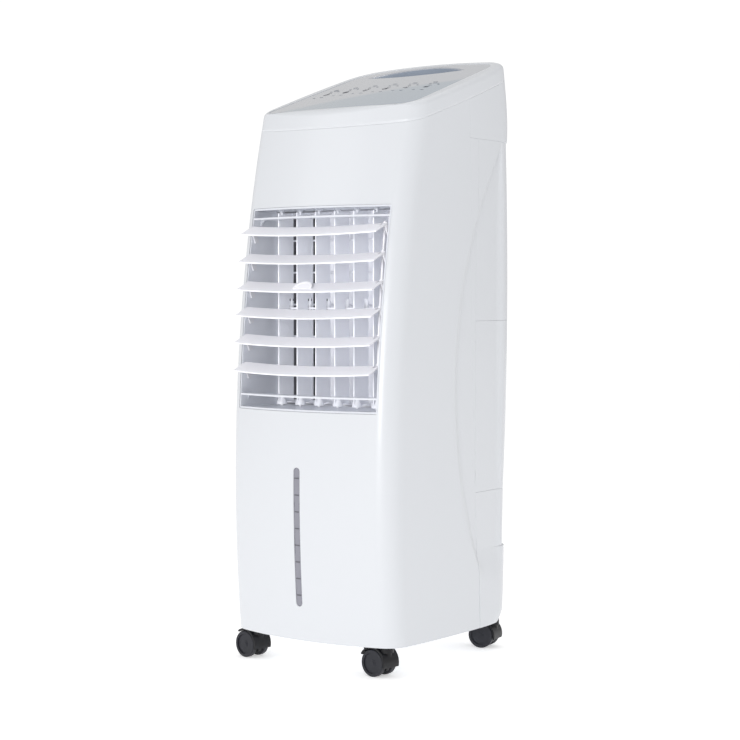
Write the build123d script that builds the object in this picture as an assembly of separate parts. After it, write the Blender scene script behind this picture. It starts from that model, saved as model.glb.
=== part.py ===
"""Tower evaporative cooler on castors, one STEP file per piece.

Millimetres, +Z up, front faces -Y. The pieces are drawn about the middle of the body and written
about the middle of the whole cooler's floor outline, which CENTRE_X and CENTRE_Y give.
"""
import functools
import math
import os

from build123d import *

# ---- driving dimensions -------------------------------------------------
BASE_Z = 41.5            # underside of the body, which is the castor height
FORM_TOP = 845.0         # upper end of the lofted body form, above the slanted top
HALF_FRONT = 135.0       # half width at the front corners
HALF_MID = 140.0         # half width at mid depth
HALF_REAR = 131.0        # half width at the rear corners
FRONT_REACH = 163.7      # furthest front point of the body
FRONT_HIGH_Z = 244.0     # height of that point
FRONT_CURVE = 2.37e-4    # lean of the front face, 1/mm
CROWN_Y = 213.3          # centre line of the front face's crown
CORNER_FRONT = 32.0
CORNER_REAR = 44.0
REAR_SAG = 5.0           # crown of the rear face
REAR_REACH = 167.0       # furthest rear point of the filter covers
REAR_HIGH_Z = 495.0
REAR_CURVE = 1.37e-4
WALL = 2.8               # housing wall
GAP = 0.4                # gap between neighbouring mouldings
SKIRT_Z = 46.5           # joint between base pan and housings
FOOT_ROUND = 20.0        # rounded lower rear edge
FOOT_REAR_Y = 155.0

TOP_SLOPE = 0.336        # rise of the slanted top per mm of depth
TOP_FRONT_Y = -106.0
TOP_FRONT_Z = 738.5
TOP_CROWN_R = 1900.0
COVER_DEPTH = 23.0       # depth of the top cover below its rim
PANEL_SINK = 0.8         # panel face below the rim
PANEL_THICK = 1.6
DECK_THICK = 5.0
RIM_WIDTH = 12.0
RIM_ROUND = 7.0

SEAM_Y = 30.0            # front and rear housing meet on a slightly leaning plane
SEAM_TOP_Z = 759.0
SEAM_LEAN = 0.0457

OPEN_HALF = 116.5        # air outlet
OPEN_LOW = 342.6
OPEN_HIGH = 611.6
CHEEK_IN = 113.9         # louver frame, inner and outer half width
CHEEK_OUT = 115.7
FRAME_REAR_Y = -64.0
BLADE_HALF = 113.3
BLADE_THICK = 1.8
BLADE_CHORD = 27.0
BLADE_TILT = 24.0        # degrees, front edge down at rest
BLADE_SAG = 8.0
BLADE_TIPS = ((-142.3, 575.0), (-146.6, 538.0), (-150.3, 501.0),
              (-153.3, 466.5), (-155.8, 430.0), (-157.6, 392.5))
PIVOT_BACK = 33.0        # blade pivot behind and below the blade tip
PIVOT_DROP = 7.0
CRANK_BACK = 28.5        # link pin behind and above the blade tip
CRANK_RISE = 12.7
CRANK_R = 1.3
LINK_X = 107.6          # upright link bar beside the right cheek
LINK_THICK = 2.4
PIVOT_R = 2.0
EAR_BACK = 20.0          # end ears start this far behind the tip
TAB_HALF = 15.5          # finger tab of the third blade
TAB_HIGH = 13.0
TAB_FRONT = 0.0
TAB_LEAN = 72.0          # degrees from square to the blade
RUN = 0.05               # radial running clearance

TAB_Y = -94.0            # louver frame screws to bosses of the front housing here
TAB_SPOTS = ((-122.5, 352.0), (122.5, 352.0), (-122.5, 602.0), (122.5, 602.0))

FIN_PITCH = 32.0
FIN_COUNT = 6
FIN_FRONT_Y = -103.0
FIN_REAR_Y = -72.0
FIN_PIVOT_Y = -96.0
FIN_PIN_Y = -74.8
FIN_THICK = 1.7
FIN_LOW = 350.5
FIN_HIGH = 605.5
FOOT_R = 7.0             # flared foot of a fin
FOOT_HIGH = 10.0
LINK_Z = 477.0
DRIVEN_FIN = 3           # the fin that the swing motor turns

WHEEL_X = -60.0          # cross-flow wheel axis
WHEEL_Y = 18.0
WHEEL_R = 45.0
WHEEL_LOW = 352.0
WHEEL_HIGH = 603.0
CASING_LOW = 343.4       # blower casing, end plates 2.6 thick
CASING_HIGH = 608.0
MOTOR_FEET = ((-30.0, -24.0), (30.0, -24.0), (-30.0, 24.0), (30.0, 24.0))

COVER_FRONT_Y = 54.0     # covers wrap forward to this line
COVER_SPLIT_Z = 460.0
TANK_TOP_Z = 227.0
BAND_Z = 705.0
TANK_HALF = 97.0
TANK_FRONT_Y = -134.0
TANK_REAR_Y = 124.0
TANK_LOW_Z = 58.0
TANK_RIM_Z = 222.0
TANK_HIGH_Z = 275.0
TANK_STEP_Y = -10.0
STEP_Z = 147.0           # ledge of the tank face
LATCH_Z = 207.0
HOSE_X = 112.0
HOSE_R = 4.0
HOSE_TOP_Z = 681.5
PUMP_X = 70.0
PUMP_Y = 96.0

WINDOW_HALF = 5.2
WINDOW_LOW = 87.0
WINDOW_HIGH = 270.0
MARK_TOP_Z = 256.0
MARK_PITCH = 22.0
MARK_COUNT = 8

STEM_X = 108.7
STEM_FRONT_Y = -111.5
STEM_REAR_Y = 140.4
STEM_R = 4.0
CASTOR_OFFSET = 14.0
CASTOR_R = 18.0
CASTOR_HALF = 15.0
CASTOR_WEB = 6.6
GUARD_SHORT = 126.0      # end of the wheel guard, degrees round the axle
GUARD_LONG = 150.0       # the same where it carries the foot lever
LEVER_X = -32.0          # foot lever pin, seen from the castor stem
LEVER_Z = 35.6
CASTORS = (("front_left", -STEM_X, STEM_FRONT_Y, -7.0), ("front_right", STEM_X, STEM_FRONT_Y, -4.0),
           ("rear_left", -STEM_X, STEM_REAR_Y, 8.0), ("rear_right", STEM_X, STEM_REAR_Y, 11.0))

KEY_XS = (-85.0, -51.0, -17.0, 17.0, 51.0, 85.0)
KEY_Y = 8.0
HANDLE_TIP_X = 83.0      # finger hollow behind the keys
HANDLE_TIP_Y = 102.0
HANDLE_FRONT_Y = 82.0
HANDLE_BACK_Y = 128.0

PLUG_PIN_R = 2.4
PLUG_PIN_LEN = 19.0
PLUG_SPAN = 19.0
PLUG_Y = 175.0
PLUG_Z = 762.0
HOOK_SPOTS = ((-62.0, 157.2, 779.0), (62.0, 157.2, 779.0))
HOOK_R = 5.5
BUSH_X = 96.0
BUSH_Z = 722.0
CORD_R = 3.0

CENTRE_X = -2.67         # middle of the outline, castors and cord included
CENTRE_Y = 8.16
BIG = 400.0


# ---- helpers --------------------------------------------------------------
def block(x0, x1, y0, y1, z0, z1):
    """Box between two corners."""
    return Pos((x0 + x1) / 2, (y0 + y1) / 2, (z0 + z1) / 2) * Box(abs(x1 - x0), abs(y1 - y0), abs(z1 - z0))


def rod_x(y, z, r, x0, x1):
    """Round bar along X."""
    return Pos((x0 + x1) / 2, y, z) * Rot(0, 90, 0) * Cylinder(r, abs(x1 - x0))


def rod_y(x, z, r, y0, y1):
    """Round bar along Y."""
    return Pos(x, (y0 + y1) / 2, z) * Rot(90, 0, 0) * Cylinder(r, abs(y1 - y0))


def rod_z(x, y, r, z0, z1):
    """Round bar along Z."""
    return Pos(x, y, (z0 + z1) / 2) * Cylinder(r, abs(z1 - z0))


def side_prism(points, x0, x1):
    """Prism along X over a closed outline of (y, z) points."""
    outline = Polyline(*[(0, y, z) for y, z in points], close=True)
    return Pos(x0, 0, 0) * extrude(make_face(outline), amount=x1 - x0, dir=(1, 0, 0))


def front_y(z):
    """Front face of the body on the centre line."""
    return -FRONT_REACH + FRONT_CURVE * (z - FRONT_HIGH_Z) ** 2


def rear_y(z):
    """Rear face of the filter covers on the centre line."""
    return REAR_REACH - REAR_CURVE * (z - REAR_HIGH_Z) ** 2


def plan_face(z, inset, rear):
    """Plan outline of the body at one height."""
    r = CROWN_Y - front_y(z) - inset
    xf = HALF_FRONT - inset
    xr = HALF_REAR - inset
    yf = CROWN_Y - math.sqrt(r * r - xf * xf)
    yr = rear - inset - REAR_SAG
    edges = [
        ThreePointArc((-xf, yf), (0, CROWN_Y - r), (xf, yf)),
        ThreePointArc((xf, yf), (HALF_MID - inset, 0), (xr, yr)),
        ThreePointArc((xr, yr), (0, rear - inset), (-xr, yr)),
        ThreePointArc((-xr, yr), (-HALF_MID + inset, 0), (-xf, yf)),
    ]
    face = make_face(edges)
    face = fillet(face.vertices().sort_by(Axis.Y)[:2], CORNER_FRONT - inset)
    face = fillet(face.vertices().sort_by(Axis.Y)[-2:], CORNER_REAR - inset)
    return Pos(0, 0, z) * face


@functools.lru_cache(maxsize=None)
def form(inset, stations):
    """Body form through (height, rear reach) stations, drawn in by an inset."""
    return loft([plan_face(z, inset, rear) for z, rear in stations])


MAIN = tuple((z, rear_y(z)) for z in (BASE_Z, 240.0, 440.0, 640.0, FORM_TOP))
BAND = ((700.0, 163.3), (735.0, 164.3), (785.0, 157.5), (FORM_TOP, 146.0))
TANK_LOWER = ((BASE_Z, 155.0), (95.0, 158.6), (STEP_Z, 160.0))
TANK_UPPER = ((STEP_Z - 3.2, 155.2), (190.0, 156.4), (TANK_TOP_Z, 157.4))


def under_top(depth):
    """Everything below the crowned, slanted top surface at a depth under it."""
    tilt = math.degrees(math.atan(TOP_SLOPE))
    axis = Pos(0, TOP_FRONT_Y, TOP_FRONT_Z) * Rot(tilt, 0, 0)
    barrel = Pos(0, 130, -TOP_CROWN_R - depth) * Rot(90, 0, 0) * Cylinder(TOP_CROWN_R, 3 * BIG)
    return axis * (barrel & Pos(0, 130, -500 - depth) * Box(2 * BIG, 3 * BIG, 1000.0))


def top_point(x, y, depth):
    """Point on the slanted top at a depth under it, measured upright."""
    drop = x * x / (2 * TOP_CROWN_R)
    return Vector(x, y, TOP_FRONT_Z + TOP_SLOPE * (y - TOP_FRONT_Y) - drop - depth)


def before_seam(shift):
    """Half space in front of the seam plane, moved by a shift."""
    low = SEAM_Y + (SEAM_TOP_Z - BASE_Z) * SEAM_LEAN + shift
    high = SEAM_Y + (SEAM_TOP_Z - FORM_TOP) * SEAM_LEAN + shift
    top = FORM_TOP + 5
    outline = ((-BIG, 0), (low + BASE_Z * SEAM_LEAN, 0), (high, top), (-BIG, top))
    return side_prism(outline, -BIG / 2, BIG / 2)


FORM_0 = form(0, MAIN)
FORM_W = form(WALL, MAIN)
SHELL = FORM_0 - FORM_W


def side_recess():
    """Skin removed for the wide D-shaped hollow on both sides."""
    rim = ThreePointArc((0, 118, 704), (0, -2, 395), (0, 45, 150))
    back = Line((0, 45, 150), (0, 260, 150))
    up = Line((0, 260, 150), (0, 260, 704))
    top = Line((0, 260, 704), (0, 118, 704))
    prism = Pos(-BIG / 2, 0, 0) * extrude(make_face([rim, back, up, top]), amount=BIG, dir=(1, 0, 0))
    skin = FORM_0 - form(1.1, MAIN)
    return (skin & prism) - block(-BIG, BIG, 118, BIG, 0, BIG * 2.5)


RECESS = side_recess()


# ---- housings -------------------------------------------------------------
def make_front_housing():
    """Front wall and both front corners, with the air outlet and the window slot."""
    wall = SHELL & before_seam(0) & under_top(COVER_DEPTH + GAP)
    wall = wall & block(-BIG, BIG, -BIG, BIG, SKIRT_Z, FORM_TOP)
    opening = block(-OPEN_HALF, OPEN_HALF, -BIG, -60, OPEN_LOW, OPEN_HIGH)
    opening = fillet(opening.edges().filter_by(Axis.Y), 2.0)
    wall = wall - opening - window_slot(0) - RECESS
    bosses = [rod_y(x, z, 4.0, -180, TAB_Y) for x, z in TAB_SPOTS]
    bores = [rod_y(x, z, 1.6, TAB_Y - 12, TAB_Y + 1) for x, z in TAB_SPOTS]
    grown = Part() + [boss & form(WALL - 0.4, MAIN) for boss in bosses]
    land = (form(WALL - 0.5, MAIN) - form(WALL + 2.2, MAIN)) & before_seam(0) & under_top(COVER_DEPTH + 14)
    land = (land - before_seam(-6)) & block(-BIG, BIG, -BIG, BIG, SKIRT_Z + 14, FORM_TOP)
    return wall + grown + land - bores


def window_slot(trim):
    """Long round-ended slot for the level window."""
    half = WINDOW_HALF - trim
    low = WINDOW_LOW + WINDOW_HALF
    high = WINDOW_HIGH - WINDOW_HALF
    bar = block(-half, half, -180, -140, low, high)
    return bar + rod_y(0, low, half, -180, -140) + rod_y(0, high, half, -180, -140)


def make_level_window():
    """Smoked water level window with a collar behind the wall."""
    strip = window_slot(0.15) & (form(0.5, MAIN) - form(WALL, MAIN))
    collar = block(-11, 11, -180, -140, WINDOW_LOW - 6, WINDOW_HIGH + 6)
    collar = fillet(collar.edges().filter_by(Axis.Y), 5.0)
    return strip + (collar & (form(WALL, MAIN) - form(WALL + 1.6, MAIN)))


def make_level_marks():
    """Level graduations in front of the window."""
    bars = []
    skin = form(0.2, MAIN) - form(0.5, MAIN)
    for i in range(MARK_COUNT):
        z = MARK_TOP_Z - i * MARK_PITCH
        bars.append(block(-3.8, 3.8, -180, -140, z - 0.7, z + 0.7) & skin)
    return Part() + bars


def rounded_foot(high):
    """Room above the floor of the body whose lower rear edge is rounded."""
    room = block(-BIG, BIG, -BIG, FOOT_REAR_Y, BASE_Z, high)
    low_edges = room.edges().filter_by(Axis.X).sort_by(Axis.Z)[:2]
    return fillet(low_edges.sort_by(Axis.Y)[-1:], FOOT_ROUND)


def make_base_pan():
    """Floor of the body with castor sockets, a locating lip and two stiffening ribs."""
    round_rear = rounded_foot(120)
    solid = form(0, TANK_LOWER)
    plate = solid & block(-BIG, BIG, -BIG, BIG, BASE_Z, BASE_Z + 2.6)
    rim = (solid - form(WALL, TANK_LOWER)) & block(-BIG, BIG, -BIG, BIG, BASE_Z, SKIRT_Z - GAP)
    lip = form(WALL + 1.0, TANK_LOWER) - form(WALL + 2.6, TANK_LOWER)
    lip = lip & block(-BIG, BIG, -BIG, 120, BASE_Z, SKIRT_Z + 8)
    pan = (plate + rim + lip) & round_rear
    room = form(WALL + 0.6, TANK_LOWER)
    for _, x, y, _ in CASTORS:
        socket = rod_z(x, y, 5.7 if y > 0 else 9.0, BASE_Z, 72)
        pan = pan + (socket & room) + block(x, x * 0.93, y - 1.2, y + 1.2, BASE_Z, 66)
        pan = pan - rod_z(x, y, STEM_R, BASE_Z - 1, 69)
    for x in (-60, 60):
        pan = pan + block(x - 3, x + 3, -125, 120, BASE_Z, TANK_LOW_Z - 0.4)
    return pan


def make_rear_housing():
    """Rear frame: upper band, side strips, inner liner, pad shelf and roof."""
    above = block(-BIG, BIG, -BIG, BIG, BAND_Z, FORM_TOP)
    band = (form(0, BAND) - form(WALL, BAND)) & above & under_top(COVER_DEPTH + GAP)
    ledge = (form(0, BAND) - form(WALL + 4.6, MAIN)) & block(-BIG, BIG, -BIG, BIG, BAND_Z, BAND_Z + 2.4)
    strip = (FORM_0 - form(WALL + 2.8, MAIN)) & block(-BIG, BIG, -BIG, COVER_FRONT_Y - GAP, SKIRT_Z, BAND_Z)
    outer = (band + ledge + strip) - before_seam(GAP) - RECESS
    zone = block(-BIG, BIG, 46, BIG, SKIRT_Z + 9, BAND_Z + 2)
    liner = (form(WALL + 0.6, MAIN) - form(WALL + 2.8, MAIN)) & zone
    liner = liner - before_seam(5.4)
    liner = liner - block(-100, 100, 80, BIG, 246, 654)
    liner = liner - block(-122, 122, 60, BIG, 0, TANK_TOP_Z + 3)
    liner = liner - block(-BIG, BIG, 112, BIG, 0, TANK_TOP_Z + 3)
    shelf = form(WALL + 1.2, MAIN) & block(-BIG, BIG, 90, BIG, 238, 244)
    shelf = shelf - block(-92, 92, 100, 126, 230, 250) - rod_z(HOSE_X, PUMP_Y, HOSE_R + 1, 230, 250)
    roof = form(WALL + 1.2, MAIN) & block(-BIG, BIG, 90, BIG, 690, 694)
    catch = block(-16, 16, 150.4, 152.6, TANK_TOP_Z + 2, 240) & form(WALL + 1.0, MAIN)
    housing = outer + liner + shelf + roof + catch
    for x, y, z in HOOK_SPOTS:
        housing = housing - rod_y(x, z, 3.0, y - 20, y + 15)
    bush = rod_y(BUSH_X, BUSH_Z, 6.0, 130, 180)
    return housing - bush


def panel_face(inset, z):
    """Plan outline of the panel seat, a margin inside the body."""
    front = TOP_FRONT_Y + RIM_WIDTH - 2 + inset
    rear = 139.0 - inset
    half = HALF_MID - 3.5 - RIM_WIDTH - inset
    nose = front + 14.0
    edges = [
        ThreePointArc((-half, nose), (0, front), (half, nose)),
        Line((half, nose), (half - 7, rear - 6)),
        ThreePointArc((half - 7, rear - 6), (0, rear), (7 - half, rear - 6)),
        Line((7 - half, rear - 6), (-half, nose)),
    ]
    face = make_face(edges)
    face = fillet(face.vertices().sort_by(Axis.Y)[:2], 26.0 - inset)
    face = fillet(face.vertices().sort_by(Axis.Y)[-2:], 30.0 - inset)
    return Pos(0, 0, z) * face


def handle_prism(grow, z0, z1):
    """Lens-shaped finger hollow behind the controls."""
    tip = HANDLE_TIP_X + grow
    front = ThreePointArc((-tip, HANDLE_TIP_Y), (0, HANDLE_FRONT_Y - grow), (tip, HANDLE_TIP_Y))
    back = ThreePointArc((tip, HANDLE_TIP_Y), (0, HANDLE_BACK_Y + grow), (-tip, HANDLE_TIP_Y))
    return Pos(0, 0, z0) * extrude(make_face([front, back]), amount=z1 - z0)


def make_top_cover():
    """Top cover with a rounded rim, the panel seat and the finger hollow."""
    cap = form(0, BAND) & under_top(0)
    rim = cap.edges().filter_by(lambda e: e.center().Z > 715 and abs(e.tangent_at(0.5).Z) < 0.6)
    cap = fillet(rim, RIM_ROUND)
    cap = cap - under_top(COVER_DEPTH)
    inner = form(WALL, BAND) & under_top(DECK_THICK)
    cover = cap - inner
    lip = (form(WALL + 0.3, BAND) - form(WALL + 2.0, BAND)) & under_top(DECK_THICK)
    lip = lip - under_top(COVER_DEPTH + 7)
    seat = extrude(panel_face(0, 600), amount=300) - under_top(PANEL_SINK + PANEL_THICK)
    cover = (cover + lip) - seat
    well = (handle_prism(2.0, 600, 900) & under_top(PANEL_SINK + PANEL_THICK)) - under_top(38)
    hollow = handle_prism(0, 600, 900) - under_top(36)
    cover = cover + (well & form(WALL, BAND)) - hollow
    for x in (-100, 100):
        post = rod_z(x, 60, 4.0, 700, 900) & under_top(DECK_THICK - 0.5)
        cover = cover + (post - under_top(26))
    return cover


def slope_frame(spot):
    """Frame at a point of the top, square to the slanted surface."""
    tilt = math.degrees(math.atan(TOP_SLOPE))
    return Pos(spot.X, spot.Y, spot.Z) * Rot(tilt, 0, 0)


def make_control_panel():
    """Crowned control sheet with an opening for the finger hollow."""
    plate = extrude(panel_face(0.25, 600), amount=300)
    plate = (plate & under_top(PANEL_SINK)) - under_top(PANEL_SINK + PANEL_THICK - 0.05)
    plate = plate - handle_prism(1.0, 600, 900)
    return plate


def key_glyph(kind):
    """Small flat sign of one touch key, drawn in its own plane."""
    ring = Circle(4.6) - Circle(3.9)
    bar = Rectangle(0.8, 4.2)
    if kind == 0:
        return ring - Pos(0, 4.2) * Rectangle(2.6, 3) + Pos(0, 3.6) * bar
    if kind == 1:
        return ring + [Rot(0, 0, 60 * k) * Pos(0, 2.0) * Rectangle(0.8, 3.4) for k in range(6)]
    if kind == 2:
        rays = [Rot(0, 0, s) * Pos(0, 4.0) * bar for s in (-30, 30)]
        return Pos(0, -1) * (Circle(3.4) - Circle(2.6)) + rays
    if kind == 3:
        return ring + Pos(0, 1.4) * Rectangle(0.7, 3.2) + Pos(1.2, 0) * Rectangle(2.6, 0.7)
    if kind == 4:
        return Sketch() + [Pos(3.0 * k, 0) * Rectangle(0.9, 3.0 + 2.0 * (k + 1)) for k in (-1, 0, 1)]
    return Sketch() + [Pos(0, 2.4 * k) * Rectangle(7.0, 0.8) for k in (-1, 0, 1)]


def make_key_marks():
    """Signs and indicator dashes of the touch keys, a thin raised print."""
    marks = []
    for i, x in enumerate(KEY_XS):
        frame = slope_frame(top_point(x, KEY_Y, 0))
        sign = key_glyph(i) + Pos(0, 9.5) * Rectangle(5.0, 1.0)
        marks.append(frame * Pos(0, 0, -5) * extrude(sign, amount=8))
    skin = under_top(PANEL_SINK - 0.2) - under_top(PANEL_SINK)
    return (Part() + marks) & skin


def make_control_board():
    """Circuit board under the panel with six key plungers."""
    tilt = math.degrees(math.atan(TOP_SLOPE))
    middle = top_point(0, KEY_Y, 0)
    board = Pos(0, 0, -16.6) * Box(196, 64, 1.6)
    for i, x in enumerate(KEY_XS):
        drop = x * x / (2 * TOP_CROWN_R)
        high = -7.2 - drop
        board = board + Pos(x, 0, (high - 15.9) / 2) * Cylinder(3.0, high + 15.9)
        board = board + Pos(x, 18, -15.0) * Box(8, 4, 2.0)
    board = board + Pos(-60, -20, -14.2) * Box(26, 14, 4) + Pos(30, -20, -14.6) * Box(16, 16, 3)
    for x in (-62, 62):
        board = board + Pos(x, 26, -11.6) * Box(8, 8, 9.2)
    return Pos(middle.X, middle.Y, middle.Z) * Rot(tilt, 0, 0) * board


# ---- air outlet ------------------------------------------------------------
def face_curve(z, back):
    """Plan arc through the front face at one height, moved back."""
    r = CROWN_Y - front_y(z) - back
    y = CROWN_Y - math.sqrt(r * r - CHEEK_IN * CHEEK_IN)
    return (-CHEEK_IN, y), (0, CROWN_Y - r), (CHEEK_IN, y)


def fixed_bar(z, drop):
    """Fixed bar of the louver frame with a curved gusset at each end."""
    left, middle, right = face_curve(z, 1.0)
    front = ThreePointArc(left, middle, right)
    rear = Line(right, (CHEEK_IN, right[1] + 19))
    back = ThreePointArc((CHEEK_IN, right[1] + 19), (0, middle[1] + 21), (-CHEEK_IN, right[1] + 19))
    close = Line((-CHEEK_IN, right[1] + 19), left)
    bar = Pos(0, 0, z - 1.2) * extrude(make_face([front, rear, back, close]), amount=2.4)
    for side in (-1, 1):
        x0 = side * CHEEK_IN
        gusset = block(x0, x0 - side * 11, right[1] + 14, right[1] + 17, z, z + drop)
        gusset = gusset - rod_y(x0 - side * 11, z + drop, 11.0, right[1] - 10, right[1] + 30)
        bar = bar + gusset
    return bar


def make_louver_frame():
    """Outlet frame with two fixed bars and bores for blades and fins."""
    tube = block(-CHEEK_OUT, CHEEK_OUT, -175, FRAME_REAR_Y, OPEN_LOW + 0.3, OPEN_HIGH - 0.3)
    tube = fillet(tube.edges().filter_by(Axis.Y), 2.0)
    core = block(-CHEEK_IN, CHEEK_IN, -180, FRAME_REAR_Y + 5, OPEN_LOW + 2.8, OPEN_HIGH - 2.8)
    frame = (tube - core) & form(1.0, MAIN)
    frame = frame + (fixed_bar(597.5, -12) & form(1.0, MAIN)) + (fixed_bar(362.0, -10) & form(1.0, MAIN))
    for y, z in BLADE_TIPS:
        pivot = rod_x(y + PIVOT_BACK, z - PIVOT_DROP, PIVOT_R + RUN, -120, 120)
        frame = frame - pivot
    for i in range(FIN_COUNT):
        x = fin_x(i)
        frame = frame + rod_z(x, FIN_PIVOT_Y, 4.4, OPEN_HIGH - 5.0, OPEN_HIGH - 1.0)
        frame = frame - rod_z(x, FIN_PIVOT_Y, PIVOT_R + RUN, OPEN_LOW - 4, OPEN_LOW + 6)
        frame = frame - rod_z(x, FIN_PIVOT_Y, PIVOT_R + RUN, OPEN_HIGH - 7, OPEN_HIGH - 2)
    for x, z in TAB_SPOTS:
        tab = block(math.copysign(CHEEK_OUT - 0.5, x), x * 1.05, TAB_Y + 0.1, TAB_Y + 2.6, z - 6, z + 6)
        frame = frame + (tab - rod_y(x, z, 1.9, TAB_Y - 5, TAB_Y + 5))
    return frame


def make_finger_tab():
    """Half-moon finger tab with a thicker rim, rising at a low angle from the blade."""
    disc = Ellipse(TAB_HALF, TAB_HIGH)
    rim = extrude(disc - Ellipse(TAB_HALF - 2.6, TAB_HIGH - 2.6), amount=3.0)
    web = Pos(0, 0, 0.9) * extrude(disc, amount=1.2)
    moon = Rot(90, 0, 0) * (rim + web)
    moon = moon & block(-TAB_HALF, TAB_HALF, -5, 5, 0, TAB_HIGH)
    return Pos(0, TAB_FRONT, 1.0) * Rot(-TAB_LEAN, 0, 0) * moon


def make_blade(tip, tabbed):
    """Curved louver blade with end ears, pivot pins and a link lug."""
    tip_y, tip_z = tip
    plan_front = ThreePointArc((-BLADE_HALF, 0), (0, -BLADE_SAG), (BLADE_HALF, 0))
    sides = [
        Line((BLADE_HALF, 0), (BLADE_HALF, BLADE_CHORD)),
        ThreePointArc((BLADE_HALF, BLADE_CHORD), (0, BLADE_CHORD - BLADE_SAG), (-BLADE_HALF, BLADE_CHORD)),
        Line((-BLADE_HALF, BLADE_CHORD), (-BLADE_HALF, 0)),
    ]
    sheet = extrude(make_face([plan_front, *sides]), amount=BLADE_THICK)
    room = LINK_THICK / 2 + 0.5
    sheet = sheet - block(LINK_X - room, LINK_X + room, BLADE_CHORD - 8, BLADE_CHORD + 4, -2, 5)
    if tabbed:
        sheet = sheet + make_finger_tab()
    blade = Pos(0, tip_y, tip_z) * Rot(BLADE_TILT, 0, 0) * sheet
    pivot_y, pivot_z = tip_y + PIVOT_BACK, tip_z - PIVOT_DROP
    ear_points = ((tip_y + EAR_BACK, tip_z + 9.6), (tip_y + EAR_BACK + 3.6, tip_z + 11.4),
                  (pivot_y + 2.6, pivot_z + 2), (pivot_y + 2.6, pivot_z - 2.6), (pivot_y - 4, pivot_z - 3))
    for side in (-1, 1):
        x0 = side * BLADE_HALF
        ear = side_prism(ear_points, min(x0, x0 - side * 1.6), max(x0, x0 - side * 1.6))
        pin = rod_x(pivot_y, pivot_z, PIVOT_R, x0 - side, x0 + side * 2.0)
        blade = blade + ear + pin
    crank_y, crank_z = tip_y + CRANK_BACK, tip_z + CRANK_RISE
    lug_points = ((tip_y + 16, tip_z + 7.9), (tip_y + 23.4, tip_z + 11.1), (crank_y + 2.2, crank_z + 1.4),
                  (crank_y + 1.4, crank_z - 2.6), (tip_y + 19, tip_z + 5))
    lug = side_prism(lug_points, LINK_X - 4.8, LINK_X - 2.6)
    crank = rod_x(crank_y, crank_z, CRANK_R, LINK_X - 2.8, LINK_X + 2.6)
    return blade + lug + crank


def make_louver_link():
    """Thin upright bar pinned to all six blades."""
    pins = [(y + CRANK_BACK, z + CRANK_RISE) for y, z in BLADE_TIPS]
    left, right = LINK_X - LINK_THICK / 2, LINK_X + LINK_THICK / 2
    half = 1.9
    bar = None
    for (y0, z0), (y1, z1) in zip(pins, pins[1:]):
        outline = ((y0 - half, z0), (y0 + half, z0), (y1 + half, z1), (y1 - half, z1))
        strut = side_prism(outline, left, right)
        bar = strut if bar is None else bar + strut
    for y, z in pins:
        bar = bar + rod_x(y, z, 2.6, left, right)
    for y, z in pins:
        bar = bar - rod_x(y, z, CRANK_R + RUN, left - 1, right + 1)
    return bar


def fin_x(i):
    """Position of one upright fin."""
    return (i - (FIN_COUNT - 1) / 2) * FIN_PITCH


def make_fin(i):
    """Upright fin with a flared foot, pivot pins and a pin for the link bar."""
    x = fin_x(i)
    half = FIN_THICK / 2
    blade = block(x - half, x + half, FIN_FRONT_Y, FIN_REAR_Y, FIN_LOW, FIN_HIGH)
    blade = blade - block(x - 4, x + 4, FIN_REAR_Y - 8.5, 0, LINK_Z - 5, LINK_Z + 13)
    foot = Pos(x, FIN_PIVOT_Y, FIN_LOW + FOOT_HIGH / 2) * Cone(FOOT_R, 1.4, FOOT_HIGH)
    collar = rod_z(x, FIN_PIVOT_Y, FOOT_R, FIN_LOW - 3, FIN_LOW)
    low = OPEN_LOW - 10 if i == DRIVEN_FIN else OPEN_LOW + 1.2
    lower_pin = rod_z(x, FIN_PIVOT_Y, PIVOT_R, low, FIN_LOW)
    upper_pin = rod_z(x, FIN_PIVOT_Y, PIVOT_R, FIN_HIGH - 3, OPEN_HIGH - 3.2)
    crank = rod_z(x, FIN_PIN_Y, 1.4, LINK_Z - 5.5, LINK_Z + 13.5)
    return blade + foot + collar + lower_pin + upper_pin + crank


def make_fin_link():
    """Flat bar with a raised hook collar round each fin's pin."""
    reach = fin_x(FIN_COUNT - 1) + 5
    bar = block(-reach, reach, FIN_PIN_Y - 3.2, FIN_PIN_Y + 3.4, LINK_Z - 1.2, LINK_Z + 1.2)
    for i in range(FIN_COUNT):
        bar = bar + rod_z(fin_x(i), FIN_PIN_Y, 2.7, LINK_Z, LINK_Z + 10)
        hook = block(-4.6, 0, FIN_PIN_Y - 0.9, FIN_PIN_Y + 0.9, LINK_Z + 6, LINK_Z + 10)
        bar = bar + Pos(fin_x(i), 0, 0) * hook
    for i in range(FIN_COUNT):
        bar = bar - rod_z(fin_x(i), FIN_PIN_Y, 1.4 + RUN, LINK_Z - 5, LINK_Z + 15)
    return bar


def make_swing_motor():
    """Small swing motor under the driven fin."""
    x = fin_x(DRIVEN_FIN)
    can = rod_z(x, FIN_PIVOT_Y + 8, 14.0, 318, 336)
    ears = block(x - 21, x + 21, FIN_PIVOT_Y + 4.5, FIN_PIVOT_Y + 11.5, 334.8, 336)
    posts = [rod_z(x + s * 17.5, FIN_PIVOT_Y + 8, 3.0, 336, OPEN_LOW + 0.3) for s in (-1, 1)]
    hub = rod_z(x, FIN_PIVOT_Y, 4.5, 335, 341)
    socket = rod_z(x, FIN_PIVOT_Y, PIVOT_R + RUN, OPEN_LOW - 10.6, 345)
    return can + ears + posts + hub - socket


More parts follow.
